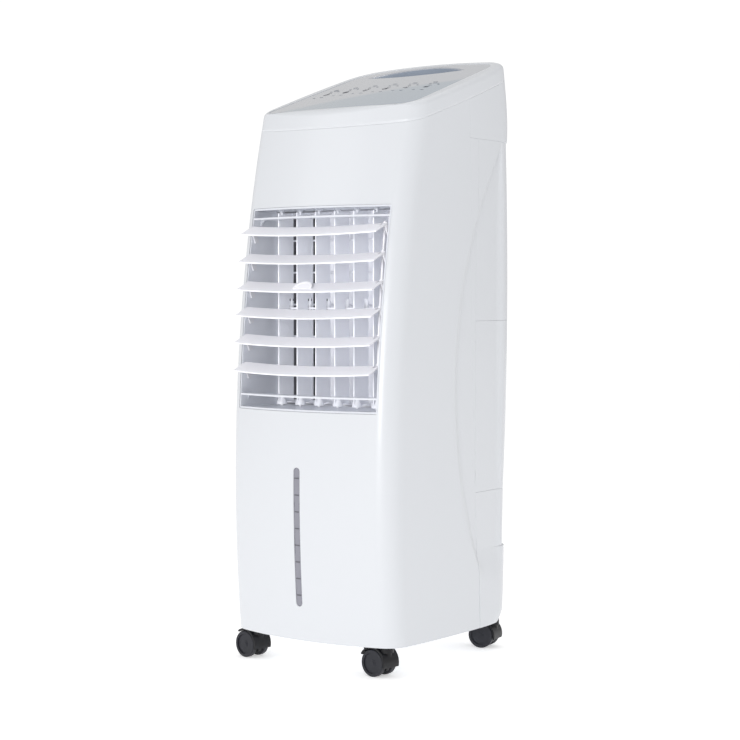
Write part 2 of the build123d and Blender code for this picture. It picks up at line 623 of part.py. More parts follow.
def make_outlet_guard():
    """Wire guard behind the fins."""
    rim = block(-CHEEK_IN, CHEEK_IN, FRAME_REAR_Y + 0.6, FRAME_REAR_Y + 3.6, 347, 607)
    rim = rim - block(4.4 - CHEEK_IN, CHEEK_IN - 4.4, -80, 0, 352, 602)
    for i in range(5):
        rim = rim + rod_x(FRAME_REAR_Y + 2.1, 395 + i * 43.5, 1.3, 3 - CHEEK_IN, CHEEK_IN - 3)
    for x in (-54, 0, 54):
        rim = rim + rod_z(x, FRAME_REAR_Y + 2.1, 1.1, 350, 604)
    return rim


# ---- blower ------------------------------------------------------------------
def plate_outline(z, thick):
    """End plate of the blower: duct mouth, diagonal wall side and wheel side."""
    points = ((-111, -60), (111, -60), (111, -52), (-8, -18), (-6, 60), (-30, 76), (-90, 76), (-111, 40))
    return Pos(0, 0, z) * extrude(make_face(Polyline(*points, close=True)), amount=thick)


def make_blower_casing():
    """Floor, scroll, left wall and slanting wall of the blower."""
    floor = plate_outline(CASING_LOW, 2.6)
    left = block(-111, -109, -60, WHEEL_Y, CASING_LOW, CASING_HIGH)
    ring = rod_z(WHEEL_X, WHEEL_Y, 51.0, CASING_LOW, CASING_HIGH) - rod_z(WHEEL_X, WHEEL_Y, 49.0, 300, 700)
    scroll = ring & block(-120, WHEEL_X + 9, WHEEL_Y, 90, CASING_LOW, CASING_HIGH)
    tongue_points = ((109, -60), (111, -60), (111, -57), (-44, -33.6), (-47, -35.4))
    tongue = make_face(Polyline(*tongue_points, close=True))
    tongue = Pos(0, 0, CASING_LOW) * extrude(tongue, amount=CASING_HIGH - CASING_LOW)
    casing = floor + left + scroll + tongue
    casing = casing - rod_z(WHEEL_X, WHEEL_Y, 9.0, 300, 349)
    for dx, dy in MOTOR_FEET:
        casing = casing - rod_z(WHEEL_X + dx, WHEEL_Y + dy, 2.1, 340, 349)
    return casing


def make_blower_lid():
    """Upper end plate of the blower with the bearing seat."""
    lid = plate_outline(608.2, 2.6)
    seat = rod_z(WHEEL_X, WHEEL_Y, 11.0, 608.2, 618)
    pocket = rod_z(WHEEL_X, WHEEL_Y, 7.0, 600, 616)
    return lid + seat - pocket


def make_bearing():
    """Sleeve bearing of the wheel."""
    bush = rod_z(WHEEL_X, WHEEL_Y, 6.95, 608.4, 615.8)
    return bush - rod_z(WHEEL_X, WHEEL_Y, 3.0 + RUN, 600, 620)


def make_crossflow_wheel():
    """Drum of thin curved blades between end discs and stiffening rings."""
    count = 26
    inner = WHEEL_R - 9
    arc = ThreePointArc((inner, 0), (WHEEL_R - 4.6, 2.6), (WHEEL_R - 0.6, 7.4))
    vane = make_face([
        arc,
        Line(arc @ 1, (WHEEL_R - 1.6, 7.8)),
        ThreePointArc((WHEEL_R - 1.6, 7.8), (WHEEL_R - 5.5, 3.5), (inner, 1.2)),
        Line((inner, 1.2), (inner, 0)),
    ])
    height = WHEEL_HIGH - WHEEL_LOW - 2
    vanes = [Rot(0, 0, i * 360 / count) * extrude(vane, amount=height) for i in range(count)]
    drum = Pos(0, 0, WHEEL_LOW + 1) * (Part() + vanes)
    drum = drum + rod_z(0, 0, WHEEL_R, WHEEL_LOW, WHEEL_LOW + 2.5)
    drum = drum + rod_z(0, 0, WHEEL_R, WHEEL_HIGH - 2.5, WHEEL_HIGH)
    for i in (1, 2, 3):
        z = WHEEL_LOW + i * (WHEEL_HIGH - WHEEL_LOW) / 4
        drum = drum + (rod_z(0, 0, WHEEL_R, z - 1, z + 1) - rod_z(0, 0, inner - 1, z - 5, z + 5))
    drum = drum + rod_z(0, 0, 9.0, WHEEL_LOW, WHEEL_LOW + 14)
    drum = drum + rod_z(0, 0, 3.0, WHEEL_HIGH - 8, 614)
    drum = drum - rod_z(0, 0, 4.0, WHEEL_LOW - 1, WHEEL_LOW + 12)
    return Pos(WHEEL_X, WHEEL_Y, 0) * drum


def make_motor_shaft():
    """Motor shaft, pressed into the wheel."""
    return rod_z(WHEEL_X, WHEEL_Y, 4.0, 302, WHEEL_LOW + 11.8)


def make_fan_motor():
    """Fan motor with four feet and cooling holes."""
    can = rod_z(WHEEL_X, WHEEL_Y, 34.0, 300, 334)
    can = fillet(can.edges().filter_by(GeomType.CIRCLE), 4.0)
    nose = rod_z(WHEEL_X, WHEEL_Y, 8.0, 330, 342)
    motor = can + nose
    for dx, dy in MOTOR_FEET:
        motor = motor + rod_z(WHEEL_X + dx, WHEEL_Y + dy, 4.0, 322, 343.4)
    motor = motor - rod_z(WHEEL_X, WHEEL_Y, 4.0 + RUN, 301, 345)
    for k in range(12):
        turn = math.radians(k * 30)
        x = WHEEL_X + 26 * math.cos(turn)
        y = WHEEL_Y + 26 * math.sin(turn)
        motor = motor - rod_z(x, y, 2.4, 290, 306)
    return motor


# ---- water side ----------------------------------------------------------------
def make_cooling_pad():
    """Corrugated wet pad."""
    pad = block(-98, 98, 98, 126, 254, 646)
    grooves = []
    for i in range(16):
        x = -91.875 + i * 12.25
        grooves.append(Pos(x, 98, 450) * Rot(0, 0, 45) * Box(5.4, 5.4, 500))
        grooves.append(Pos(x + 6.1, 126, 450) * Rot(0, 0, 45) * Box(5.4, 5.4, 500))
    return pad - grooves


def make_pad_frame():
    """Open frame round the wet pad."""
    outer = block(-103, 103, 95, 129, 248, 652)
    frame = outer - block(-98.3, 98.3, 90, 140, 253.7, 646.3)
    for y0, y1 in ((95, 97.6), (126.4, 129)):
        for x in (-49, 0, 49):
            frame = frame + block(x - 2, x + 2, y0, y1, 250, 650)
        for z in (350, 450, 550):
            frame = frame + block(-100, 100, y0, y1, z - 2, z + 2)
    for i in range(9):
        x = -80 + i * 20
        frame = frame - rod_z(x, 112, 3.0, 646, 660) - rod_z(x, 112, 5.0, 240, 254)
    return frame


def make_drip_tray():
    """Drip tray on top of the pad frame."""
    tray = block(-103, 103, 95, 129, 652.2, 676)
    tray = tray - block(-101, 101, 97, 127, 654.4, 700)
    for i in range(9):
        tray = tray - rod_z(-80 + i * 20, 112, 1.6, 640, 660)
    return tray


def make_pump_hose():
    """Hose from the pump over to the side, up past the pad and down into the drip tray."""
    path = FilletPolyline((PUMP_X, PUMP_Y, 134), (PUMP_X, PUMP_Y, 231), (HOSE_X, PUMP_Y, 231),
                          (HOSE_X, PUMP_Y, HOSE_TOP_Z), (88, PUMP_Y + 10, HOSE_TOP_Z),
                          (88, PUMP_Y + 10, 660), radius=6.5)
    start = Plane(origin=path @ 0, z_dir=path % 0)
    outer = sweep(start * Circle(HOSE_R), path=path)
    inner = sweep(start * Circle(HOSE_R - 1.2), path=path)
    return outer - inner


def make_water_pump():
    """Submersible pump with an inlet grille and an outlet pipe."""
    body = block(52, 88, 72, 112, 66, 104)
    body = fillet(body.edges().filter_by(Axis.Z), 6.0)
    body = body + rod_z(PUMP_X, PUMP_Y, 2.7, 100, 152)
    body = body + rod_z(PUMP_X, PUMP_Y, 5.0, 100, 126)
    for i in range(7):
        body = body - block(55 + i * 4.6, 57.2 + i * 4.6, 60, 76, 70, 92)
    return body + block(48, 52.5, 86, 106, 88, 100)


def make_pump_bracket():
    """Bracket that hangs the pump from the shelf."""
    arm = block(44, 48, 88, 104, 86, 238)
    return arm + block(48, 62, 93, 104, 234, 238)


def make_water_tank():
    """Water tank with a tall front part behind the window."""
    lower = block(-TANK_HALF, TANK_HALF, TANK_FRONT_Y, TANK_REAR_Y, TANK_LOW_Z, TANK_RIM_Z)
    tower = block(-TANK_HALF, TANK_HALF, TANK_FRONT_Y, TANK_STEP_Y, TANK_LOW_Z, TANK_HIGH_Z)
    body = fillet((lower + tower).edges().filter_by(Axis.Z), 8.0)
    wall = 2.2
    room = block(-TANK_HALF + wall, TANK_HALF - wall, TANK_FRONT_Y + wall, TANK_REAR_Y - wall,
                 TANK_LOW_Z + wall, TANK_RIM_Z + 60)
    room = fillet(room.edges().filter_by(Axis.Z), 6.0)
    lid = block(-BIG, BIG, -BIG, TANK_STEP_Y - wall, TANK_HIGH_Z - wall, BIG)
    step = block(-BIG, BIG, TANK_STEP_Y - wall, TANK_STEP_Y, TANK_RIM_Z - 6, BIG)
    tank = body - (room - lid - step)
    for x in (-62, 62):
        rib = block(x - 1.6, x + 1.6, TANK_REAR_Y - 1, BIG, 66, 140)
        tank = tank + (rib & form(WALL + 0.2, TANK_LOWER))
    return tank


def make_tank_face():
    """Rear panel of the tank with a ledge, wrapping forward to the seam, with a grip pocket."""
    front = COVER_FRONT_Y + GAP
    back = block(-BIG, BIG, front, BIG, SKIRT_Z + 0.1, STEP_Z)
    lower = (form(0, TANK_LOWER) - form(WALL, TANK_LOWER)) & back
    upper_zone = block(-BIG, BIG, front, BIG, STEP_Z - 2.4, TANK_TOP_Z - GAP)
    upper = (form(0, TANK_UPPER) - form(WALL, TANK_UPPER)) & upper_zone
    ledge_zone = block(-BIG, BIG, front, BIG, STEP_Z - 2.4, STEP_Z)
    ledge = (form(0, TANK_LOWER) - form(WALL, TANK_UPPER)) & ledge_zone
    face = (lower + upper + ledge) - before_seam(GAP)
    keep = rounded_foot(STEP_Z) + block(-BIG, BIG, -BIG, BIG, BASE_Z + FOOT_ROUND, BIG)
    face = face & keep
    grip_hole = block(-46, 46, 120, 180, 152, 186)
    grip_hole = fillet(grip_hole.edges().filter_by(Axis.Y), 10.0)
    pocket = block(-48, 48, 132, 170, 150, 188)
    pocket = fillet(pocket.edges().filter_by(Axis.Y), 12.0)
    pocket = pocket & form(WALL - 0.5, TANK_UPPER)
    hollow = block(-46, 46, 134, 180, 152, 186)
    hollow = fillet(hollow.edges().filter_by(Axis.Y), 10.0)
    face = face + pocket - grip_hole - hollow
    return face - rod_y(0, LATCH_Z, 4.0 + RUN, 100, 200)


def make_tank_latch():
    """Turn knob with a tongue; the tongue lies flat when the tank is free."""
    knob = rod_y(0, LATCH_Z, 12.0, 157.9, 160.4)
    grip = block(-10.5, 10.5, 160, 165.5, LATCH_Z - 2.2, LATCH_Z + 2.2)
    grip = fillet(grip.edges().filter_by(Axis.Z), 1.2)
    shaft = rod_y(0, LATCH_Z, 4.0, 141, 158.5)
    tongue = block(-4, 27, 142.5, 145.0, LATCH_Z - 5, LATCH_Z + 5)
    tongue = fillet(tongue.edges().filter_by(Axis.Y), 3.0)
    return knob + grip + shaft + tongue


def cover_shell(z0, z1):
    """U-shaped rear cover between two heights."""
    zone = block(-BIG, BIG, COVER_FRONT_Y, BIG, z0, z1)
    return ((FORM_0 - form(2.6, MAIN)) & zone) - before_seam(GAP)


def make_filter_cover(z0, z1, first, rows):
    """Rear cover with rows of air slots and a finger notch at the split."""
    cover = cover_shell(z0, z1) - RECESS
    slots = []
    for i in range(rows):
        z = first + i * 12.0
        for x0, x1 in ((-90, -32), (-28, 28), (32, 90)):
            slots.append(block(x0, x1, 130, 190, z, z + 6.6))
    cover = cover - slots
    edge = z0 if z0 > COVER_SPLIT_Z else z1
    return cover - block(-22, 22, 150, 190, edge - 4, edge + 4)


def make_dust_filter(z0, z1):
    """Flat filter: frame and a net of thin strands."""
    y0 = 146.4
    frame = block(-99, 99, y0, y0 + 1.8, z0, z1) - block(-95, 95, y0 - 5, y0 + 5, z0 + 4, z1 - 4)
    for i in range(1, 16):
        x = -95 + i * 190 / 16
        frame = frame + block(x - 0.4, x + 0.4, y0 + 0.4, y0 + 1.4, z0 + 2, z1 - 2)
    rows = int((z1 - z0) / 12)
    for i in range(1, rows):
        z = z0 + i * (z1 - z0) / rows
        frame = frame + block(-97, 97, y0 + 0.4, y0 + 1.4, z - 0.4, z + 0.4)
    return frame


# ---- castors ---------------------------------------------------------------------
def at_castor(x, y, turn):
    """Place of a castor, turned about its stem."""
    return Pos(x, y, 0) * Rot(0, 0, turn)


def make_castor_stems():
    """Four steel stems with a snap groove."""
    pins = []
    for _, x, y, _ in CASTORS:
        pin = rod_z(x, y, STEM_R, 24, 68)
        groove = rod_z(x, y, 8, 30, 31.5) - rod_z(x, y, STEM_R - 0.7, 29, 33)
        pins.append(chamfer(pin.edges().sort_by(Axis.Z)[-1:], 1.0) - groove)
    return Part() + pins


def lever_ears():
    """Two ears behind the guard with holes for the lever pin."""
    ears = []
    root_x = -CASTOR_OFFSET - 10
    for side in (-1, 1):
        plate = Polyline((LEVER_X - 1.2, 0, LEVER_Z - 2.1), (LEVER_X - 1.2, 0, LEVER_Z + 1),
                         (root_x, 0, LEVER_Z + 1), (root_x, 0, LEVER_Z - 9), (LEVER_X + 1, 0, LEVER_Z - 9),
                         close=True)
        plate = Pos(0, 4.9, 0) * extrude(make_face(plate), amount=2.2, dir=(0, 1, 0))
        ear = plate + rod_y(LEVER_X, LEVER_Z, 2.4, 4.9, 7.1)
        ears.append(ear if side > 0 else mirror(ear, about=Plane.XZ))
    return Part() + ears - rod_y(-CASTOR_OFFSET, CASTOR_R, 20.4, -20, 20)


def make_castor_hood(x, y, turn, lever):
    """Web between the wheels, stem socket and a curved guard over both wheels."""
    cx = -CASTOR_OFFSET
    web_half = CASTOR_WEB - 0.5
    socket = rod_z(0, 0, 6.1, 12, BASE_Z - 0.4)
    disc = rod_y(cx, CASTOR_R, 17.2, -3.0, 3.0) & block(-60, 20, -9, 9, 8, 60)
    web = disc + block(cx, 0, -3, 3, 10, 30)
    guard = rod_y(cx, CASTOR_R, 21.6, -CASTOR_HALF, CASTOR_HALF) - rod_y(cx, CASTOR_R, 19.2, -20, 20)
    wedge = side_wedge(cx, GUARD_LONG if lever else GUARD_SHORT)
    guard = guard & wedge
    bridge = rod_y(cx, CASTOR_R, 20.4, -web_half, web_half) - rod_y(cx, CASTOR_R, 16.0, -20, 20)
    bridge = bridge & wedge
    crown = rod_z(-3, 0, 11.0, 31.7, BASE_Z - 0.4)
    middle = crown & block(-40, 40, -web_half, web_half, 30, 60)
    crown = (crown - rod_y(cx, CASTOR_R, 19.2, -30, 30)) + middle
    hood = web + socket + guard + bridge + crown
    if lever:
        hood = hood + lever_ears() - rod_y(LEVER_X, LEVER_Z, 1.5 + RUN, -9, 9)
    hood = hood - rod_y(cx, CASTOR_R, 3.0 + RUN, -30, 30)
    hood = hood - rod_z(0, 0, STEM_R + RUN, 23.5, 60)
    return at_castor(x, y, turn) * hood


def side_wedge(cx, last):
    """Angular range covered by the castor guard, up to a last angle."""
    points = [(cx, CASTOR_R)]
    for angle in (-14, 20, 60, 96, last):
        a = math.radians(angle)
        points.append((cx + 40 * math.cos(a), CASTOR_R + 40 * math.sin(a)))
    outline = Polyline(*[(px, 0, pz) for px, pz in points], close=True)
    return Pos(0, -30, 0) * extrude(make_face(outline), amount=60, dir=(0, 1, 0))


def make_castor_wheels(x, y, turn):
    """Two dished wheels on one axle."""
    cx = -CASTOR_OFFSET
    pair = rod_y(cx, CASTOR_R, 3.0, -CASTOR_HALF + 1, CASTOR_HALF - 1)
    for side in (-1, 1):
        y0 = side * CASTOR_WEB
        y1 = side * (CASTOR_HALF - 0.2)
        tyre = rod_y(cx, CASTOR_R, CASTOR_R, y0, y1)
        tyre = fillet(tyre.edges().filter_by(GeomType.CIRCLE), 1.6)
        dish = rod_y(cx, CASTOR_R, 13.6, y1 - side * 1.6, y1 + side)
        boss = rod_y(cx, CASTOR_R, 5.0, y1 - side * 3, y1 - side * 1.3)
        pair = pair + (tyre - dish) + boss
    return at_castor(x, y, turn) * pair


def make_brake_lever(x, y, turn):
    """Foot lever on its own pin in the ears of the hood."""
    arm = block(LEVER_X - 19, LEVER_X + 1.6, -7, 7, LEVER_Z + 2.7, LEVER_Z + 5.0)
    arm = fillet(arm.edges().filter_by(Axis.Z), 1.5)
    arm = arm + block(LEVER_X - 19, LEVER_X - 15, -7, 7, LEVER_Z + 1.2, LEVER_Z + 2.7)
    hub = rod_y(LEVER_X, LEVER_Z, 2.3, -4.6, 4.6)
    rise = block(LEVER_X - 1.6, LEVER_X + 1.6, -4.4, 4.4, LEVER_Z, LEVER_Z + 3)
    pin = rod_y(LEVER_X, LEVER_Z, 1.5, -6.9, 6.9)
    return at_castor(x, y, turn) * (arm + hub + rise + pin)


# ---- cord --------------------------------------------------------------------------
def make_cord_hooks():
    """Two hooks for winding the cord."""
    hooks = []
    for x, y, z in HOOK_SPOTS:
        peg = rod_y(x, z, 2.95, y - 4, y + 5) + rod_y(x, z, HOOK_R, y + 1.9, y + 23)
        lip = block(x - 5, x + 5, y + 21.2, y + 23.4, z, z + 14)
        hooks.append(peg + lip)
    return Part() + hooks


def cord_turn(y):
    """One turn of cord round both hooks."""
    half = HOOK_SPOTS[1][0]
    mid = HOOK_SPOTS[1][2]
    rad = HOOK_R + 0.2 + CORD_R
    loop = Wire([
        Line((-half, y, mid + rad), (half, y, mid + rad)),
        ThreePointArc((half, y, mid + rad), (half + rad, y, mid), (half, y, mid - rad)),
        Line((half, y, mid - rad), (-half, y, mid - rad)),
        ThreePointArc((-half, y, mid - rad), (-half - rad, y, mid), (-half, y, mid + rad)),
    ])
    return sweep(Plane(origin=(-half, y, mid + rad), z_dir=(1, 0, 0)) * Circle(CORD_R), path=loop)


def make_power_cord():
    """Cord from its outlet, wound round the hooks, then down to the plug."""
    first = PLUG_Y - 2 * CORD_R - 0.2
    half = HOOK_SPOTS[1][0]
    mid = HOOK_SPOTS[1][2]
    rad = HOOK_R + 0.2 + CORD_R
    straight = Line((BUSH_X, 140, BUSH_Z), (BUSH_X, first - 6, BUSH_Z))
    bend = Spline(straight @ 1, (BUSH_X - 5, first, BUSH_Z + 14), (half + rad, first, mid),
                  tangents=((0, 1, 0), (0, 0, 1)))
    start = Plane(origin=straight @ 0, z_dir=straight % 0)
    lead = sweep(start * Circle(CORD_R), path=Wire([straight, bend]))
    drop = rod_z(0, PLUG_Y, CORD_R, PLUG_Z + 5.1, mid - rad)
    bush = rod_y(BUSH_X, BUSH_Z, 5.8, 152, 164.5)
    return cord_turn(first) + lead + bush + (cord_turn(PLUG_Y) + drop)


def make_mains_plug():
    """Two-pin plug hanging under the cord, pins down."""
    body = block(-17, 17, PLUG_Y - 6.5, PLUG_Y + 6.5, PLUG_Z - 32, PLUG_Z - 4)
    body = fillet(body.edges().filter_by(Axis.Z), 6.0)
    neck = Pos(0, PLUG_Y, PLUG_Z + 0.5) * Cone(6.2, 3.6, 9)
    plug = body + neck
    for side in (-1, 1):
        x = side * PLUG_SPAN / 2
        low = PLUG_Z - 32 - PLUG_PIN_LEN
        plug = plug + rod_z(x, PLUG_Y, PLUG_PIN_R, low, PLUG_Z - 30)
    return plug


# ---- small hardware -------------------------------------------------------------------
def make_housing_screws():
    """Four screws that hold the louver frame."""
    screws = []
    for x, z in TAB_SPOTS:
        shank = rod_y(x, z, 1.55, TAB_Y - 11, TAB_Y + 2.7)
        head = rod_y(x, z, 3.4, TAB_Y + 2.7, TAB_Y + 4.9)
        cross = block(x - 2, x + 2, TAB_Y + 4, TAB_Y + 6, z - 0.4, z + 0.4)
        screws.append(shank + head - cross)
    return Part() + screws


def write(name, shape):
    """One STEP file per piece."""
    shape = Pos(-CENTRE_X, -CENTRE_Y, 0) * shape
    shape.label = name
    export_step(shape, os.path.join("parts", name + ".step"))


def main():
    """Build and write every piece."""
    os.makedirs("parts", exist_ok=True)
    write("front_housing", make_front_housing())
    write("level_window", make_level_window())
    write("level_marks", make_level_marks())
    write("base_pan", make_base_pan())
    write("rear_housing", make_rear_housing())
    write("top_cover", make_top_cover())
    write("control_panel", make_control_panel())
    write("key_marks", make_key_marks())
    write("control_board", make_control_board())
    write("louver_frame", make_louver_frame())
    for i, tip in enumerate(BLADE_TIPS):
        write("louver_blade_" + str(i + 1), make_blade(tip, i == 2))
    write("louver_link", make_louver_link())
    for i in range(FIN_COUNT):
        write("swing_fin_" + str(i + 1), make_fin(i))
    write("fin_link", make_fin_link())
    write("swing_motor", make_swing_motor())
    write("outlet_guard", make_outlet_guard())
    write("blower_casing", make_blower_casing())
    write("blower_lid", make_blower_lid())
    write("wheel_bearing", make_bearing())
    write("crossflow_wheel", make_crossflow_wheel())
    write("motor_shaft", make_motor_shaft())
    write("fan_motor", make_fan_motor())
    write("cooling_pad", make_cooling_pad())
    write("pad_frame", make_pad_frame())
    write("drip_tray", make_drip_tray())
    write("pump_hose", make_pump_hose())
    write("water_pump", make_water_pump())
    write("pump_bracket", make_pump_bracket())
    write("water_tank", make_water_tank())
    write("tank_face", make_tank_face())
    write("tank_latch", make_tank_latch())
    write("upper_filter_cover", make_filter_cover(COVER_SPLIT_Z + GAP, BAND_Z - GAP, 480.0, 17))
    write("lower_filter_cover", make_filter_cover(TANK_TOP_Z + GAP, COVER_SPLIT_Z - GAP, 250.0, 16))
    write("dust_filter_upper", make_dust_filter(470, 652))
    write("dust_filter_lower", make_dust_filter(250, 452))
    write("castor_stems", make_castor_stems())
    for name, x, y, turn in CASTORS:
        write("castor_hood_" + name, make_castor_hood(x, y, turn, name.endswith("right")))
        write("castor_wheels_" + name, make_castor_wheels(x, y, turn))
    for name, x, y, turn in (CASTORS[1], CASTORS[3]):
        write("brake_lever_" + name, make_brake_lever(x, y, turn))
    write("cord_hooks", make_cord_hooks())
    write("power_cord", make_power_cord())
    write("mains_plug", make_mains_plug())
    write("housing_screws", make_housing_screws())


main()
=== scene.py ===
import math

import bmesh
import bpy
import numpy as np
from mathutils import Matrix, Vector

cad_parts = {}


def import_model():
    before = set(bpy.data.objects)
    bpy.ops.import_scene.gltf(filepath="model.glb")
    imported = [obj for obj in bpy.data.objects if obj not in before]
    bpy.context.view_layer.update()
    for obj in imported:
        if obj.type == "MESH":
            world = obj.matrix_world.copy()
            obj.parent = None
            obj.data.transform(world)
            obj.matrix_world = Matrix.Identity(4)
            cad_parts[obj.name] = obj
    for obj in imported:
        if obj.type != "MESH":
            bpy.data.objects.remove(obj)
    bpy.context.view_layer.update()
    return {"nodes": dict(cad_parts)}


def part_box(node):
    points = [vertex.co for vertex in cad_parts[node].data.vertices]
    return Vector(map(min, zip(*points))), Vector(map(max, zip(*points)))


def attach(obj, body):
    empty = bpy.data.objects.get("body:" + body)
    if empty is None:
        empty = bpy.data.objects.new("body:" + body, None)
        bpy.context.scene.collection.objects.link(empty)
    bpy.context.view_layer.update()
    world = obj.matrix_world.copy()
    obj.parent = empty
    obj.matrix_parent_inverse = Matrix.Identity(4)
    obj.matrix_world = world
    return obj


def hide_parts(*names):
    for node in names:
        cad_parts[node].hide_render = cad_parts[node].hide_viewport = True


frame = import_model()

MM = 0.001
front_low, front_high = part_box("front_housing")
base_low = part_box("base_pan")[0]

# ---- the body's form, millimetres about the middle of the body -----------------
MID_X = (front_low.x + front_high.x) / 2
SIDE_SWELL = 0.45           # the bowed side reaches this far beyond its half width at the middle
HALF_MID = (front_high.x - front_low.x) / 2 / MM - SIDE_SWELL
FRONT_REACH = 163.7         # from the middle to the front at its most forward height
MID_Y = front_low.y + FRONT_REACH * MM
BASE_Z = base_low.z / MM
HALF_FRONT = HALF_MID - 5.0
HALF_REAR = HALF_MID - 9.0
FRONT_HIGH_Z = 244.0        # height where the front reaches furthest
FRONT_CURVE = 2.37e-4
REAR_REACH = 167.0          # from the middle to the rear at its furthest height
REAR_HIGH_Z = 495.0
REAR_CURVE = 1.37e-4
CROWN_Y = 213.3             # middle of the arc that crowns the front in plan
CORNER_FRONT = 32.0
CORNER_REAR = 44.0
REAR_SAG = 5.0
WALL = 2.6
TOP_SLOPE = 0.336           # the top rises towards the rear
TOP_FRONT_Y = -106.0
TOP_FRONT_Z = 738.5
TOP_CROWN_R = 1900.0
COVER_DEPTH = 23.0          # height of the top cover's skirt
SEAM_Y = 30.0               # side seam at its top end
SEAM_TOP_Z = 759.0
SEAM_LEAN = 0.0457
COVER_FRONT_Y = 54.0        # front edge of the two rear covers
COVER_SPLIT_Z = 460.0       # where the upper and the lower cover meet
TANK_TOP_Z = 227.0
BAND_Z = 705.0              # lower edge of the rear band
STEP_Z = 147.0              # ledge of the tank face
FOOT_ROUND = 20.0
OPEN_HALF = 116.5
OPEN_LOW = 342.6
OPEN_HIGH = 611.6
OPEN_ROUND = 3.0
HOLLOW_DEPTH = 3.4
HOLLOW_RIM = 8.5
HOLLOW_BACK = 121.0
HOLLOW_BACK_RIM = 7.0
HOLLOW_LOW_Z = 100.0
HOLLOW_FADE = 50.0
JOINT = 0.12                # gap shown between neighbouring shells
SPLIT_GAP = 0.11            # gap shown above and below the rear covers
ROW_STEP = 6.0


def world(x, y, z):
    """Body millimetres to the frame's metres."""
    return (MID_X + x * MM, MID_Y + y * MM, z * MM)


def smooth(t):
    """Smooth step from 0 to 1."""
    t = min(max(t, 0.0), 1.0)
    return t * t * (3 - 2 * t)


def circle_through(p, q, r):
    """Centre and radius of the circle through three points."""
    (x1, y1), (x2, y2), (x3, y3) = p, q, r
    d = 2 * (x1 * (y2 - y3) + x2 * (y3 - y1) + x3 * (y1 - y2))
    s1, s2, s3 = x1 * x1 + y1 * y1, x2 * x2 + y2 * y2, x3 * x3 + y3 * y3
    cx = (s1 * (y2 - y3) + s2 * (y3 - y1) + s3 * (y1 - y2)) / d
    cy = (s1 * (x3 - x2) + s2 * (x1 - x3) + s3 * (x2 - x1)) / d
    return cx, cy, math.hypot(x1 - cx, y1 - cy)


def meet(c1, r1, c2, r2, near):
    """The crossing of two circles that lies nearer a point."""
    dx, dy = c2[0] - c1[0], c2[1] - c1[1]
    d = math.hypot(dx, dy)
    a = (r1 * r1 - r2 * r2 + d * d) / (2 * d)
    h = math.sqrt(max(r1 * r1 - a * a, 0.0))
    mx, my = c1[0] + a * dx / d, c1[1] + a * dy / d
    spots = [(mx + s * h * dy / d, my - s * h * dx / d) for s in (-1, 1)]
    return min(spots, key=lambda p: math.hypot(p[0] - near[0], p[1] - near[1]))


def front_y(z):
    """Front of the body's middle line at a height; it leans back towards the top."""
    return -FRONT_REACH + FRONT_CURVE * (z - FRONT_HIGH_Z) ** 2


def stations(points):
    """Smooth curve through a few (height, reach) stations."""
    zs = [p[0] for p in points]
    fit = np.polyfit(zs, [p[1] for p in points], len(points) - 1)
    return lambda z: float(np.polyval(fit, z))


def rear_main(z):
    """Rear reach of the body where the two covers are."""
    return REAR_REACH - REAR_CURVE * (z - REAR_HIGH_Z) ** 2


# Rear reach of the upper band and the top cover.
band_fit = stations(((700.0, 163.3), (735.0, 164.3), (785.0, 157.5), (845.0, 146.0)))
# The tank face below and above its ledge.
rear_tank_low = stations(((BASE_Z, 155.0), (95.0, 158.6), (STEP_Z, 160.0)))
rear_tank_high = stations(((143.8, 155.2), (190.0, 156.4), (TANK_TOP_Z, 157.4)))


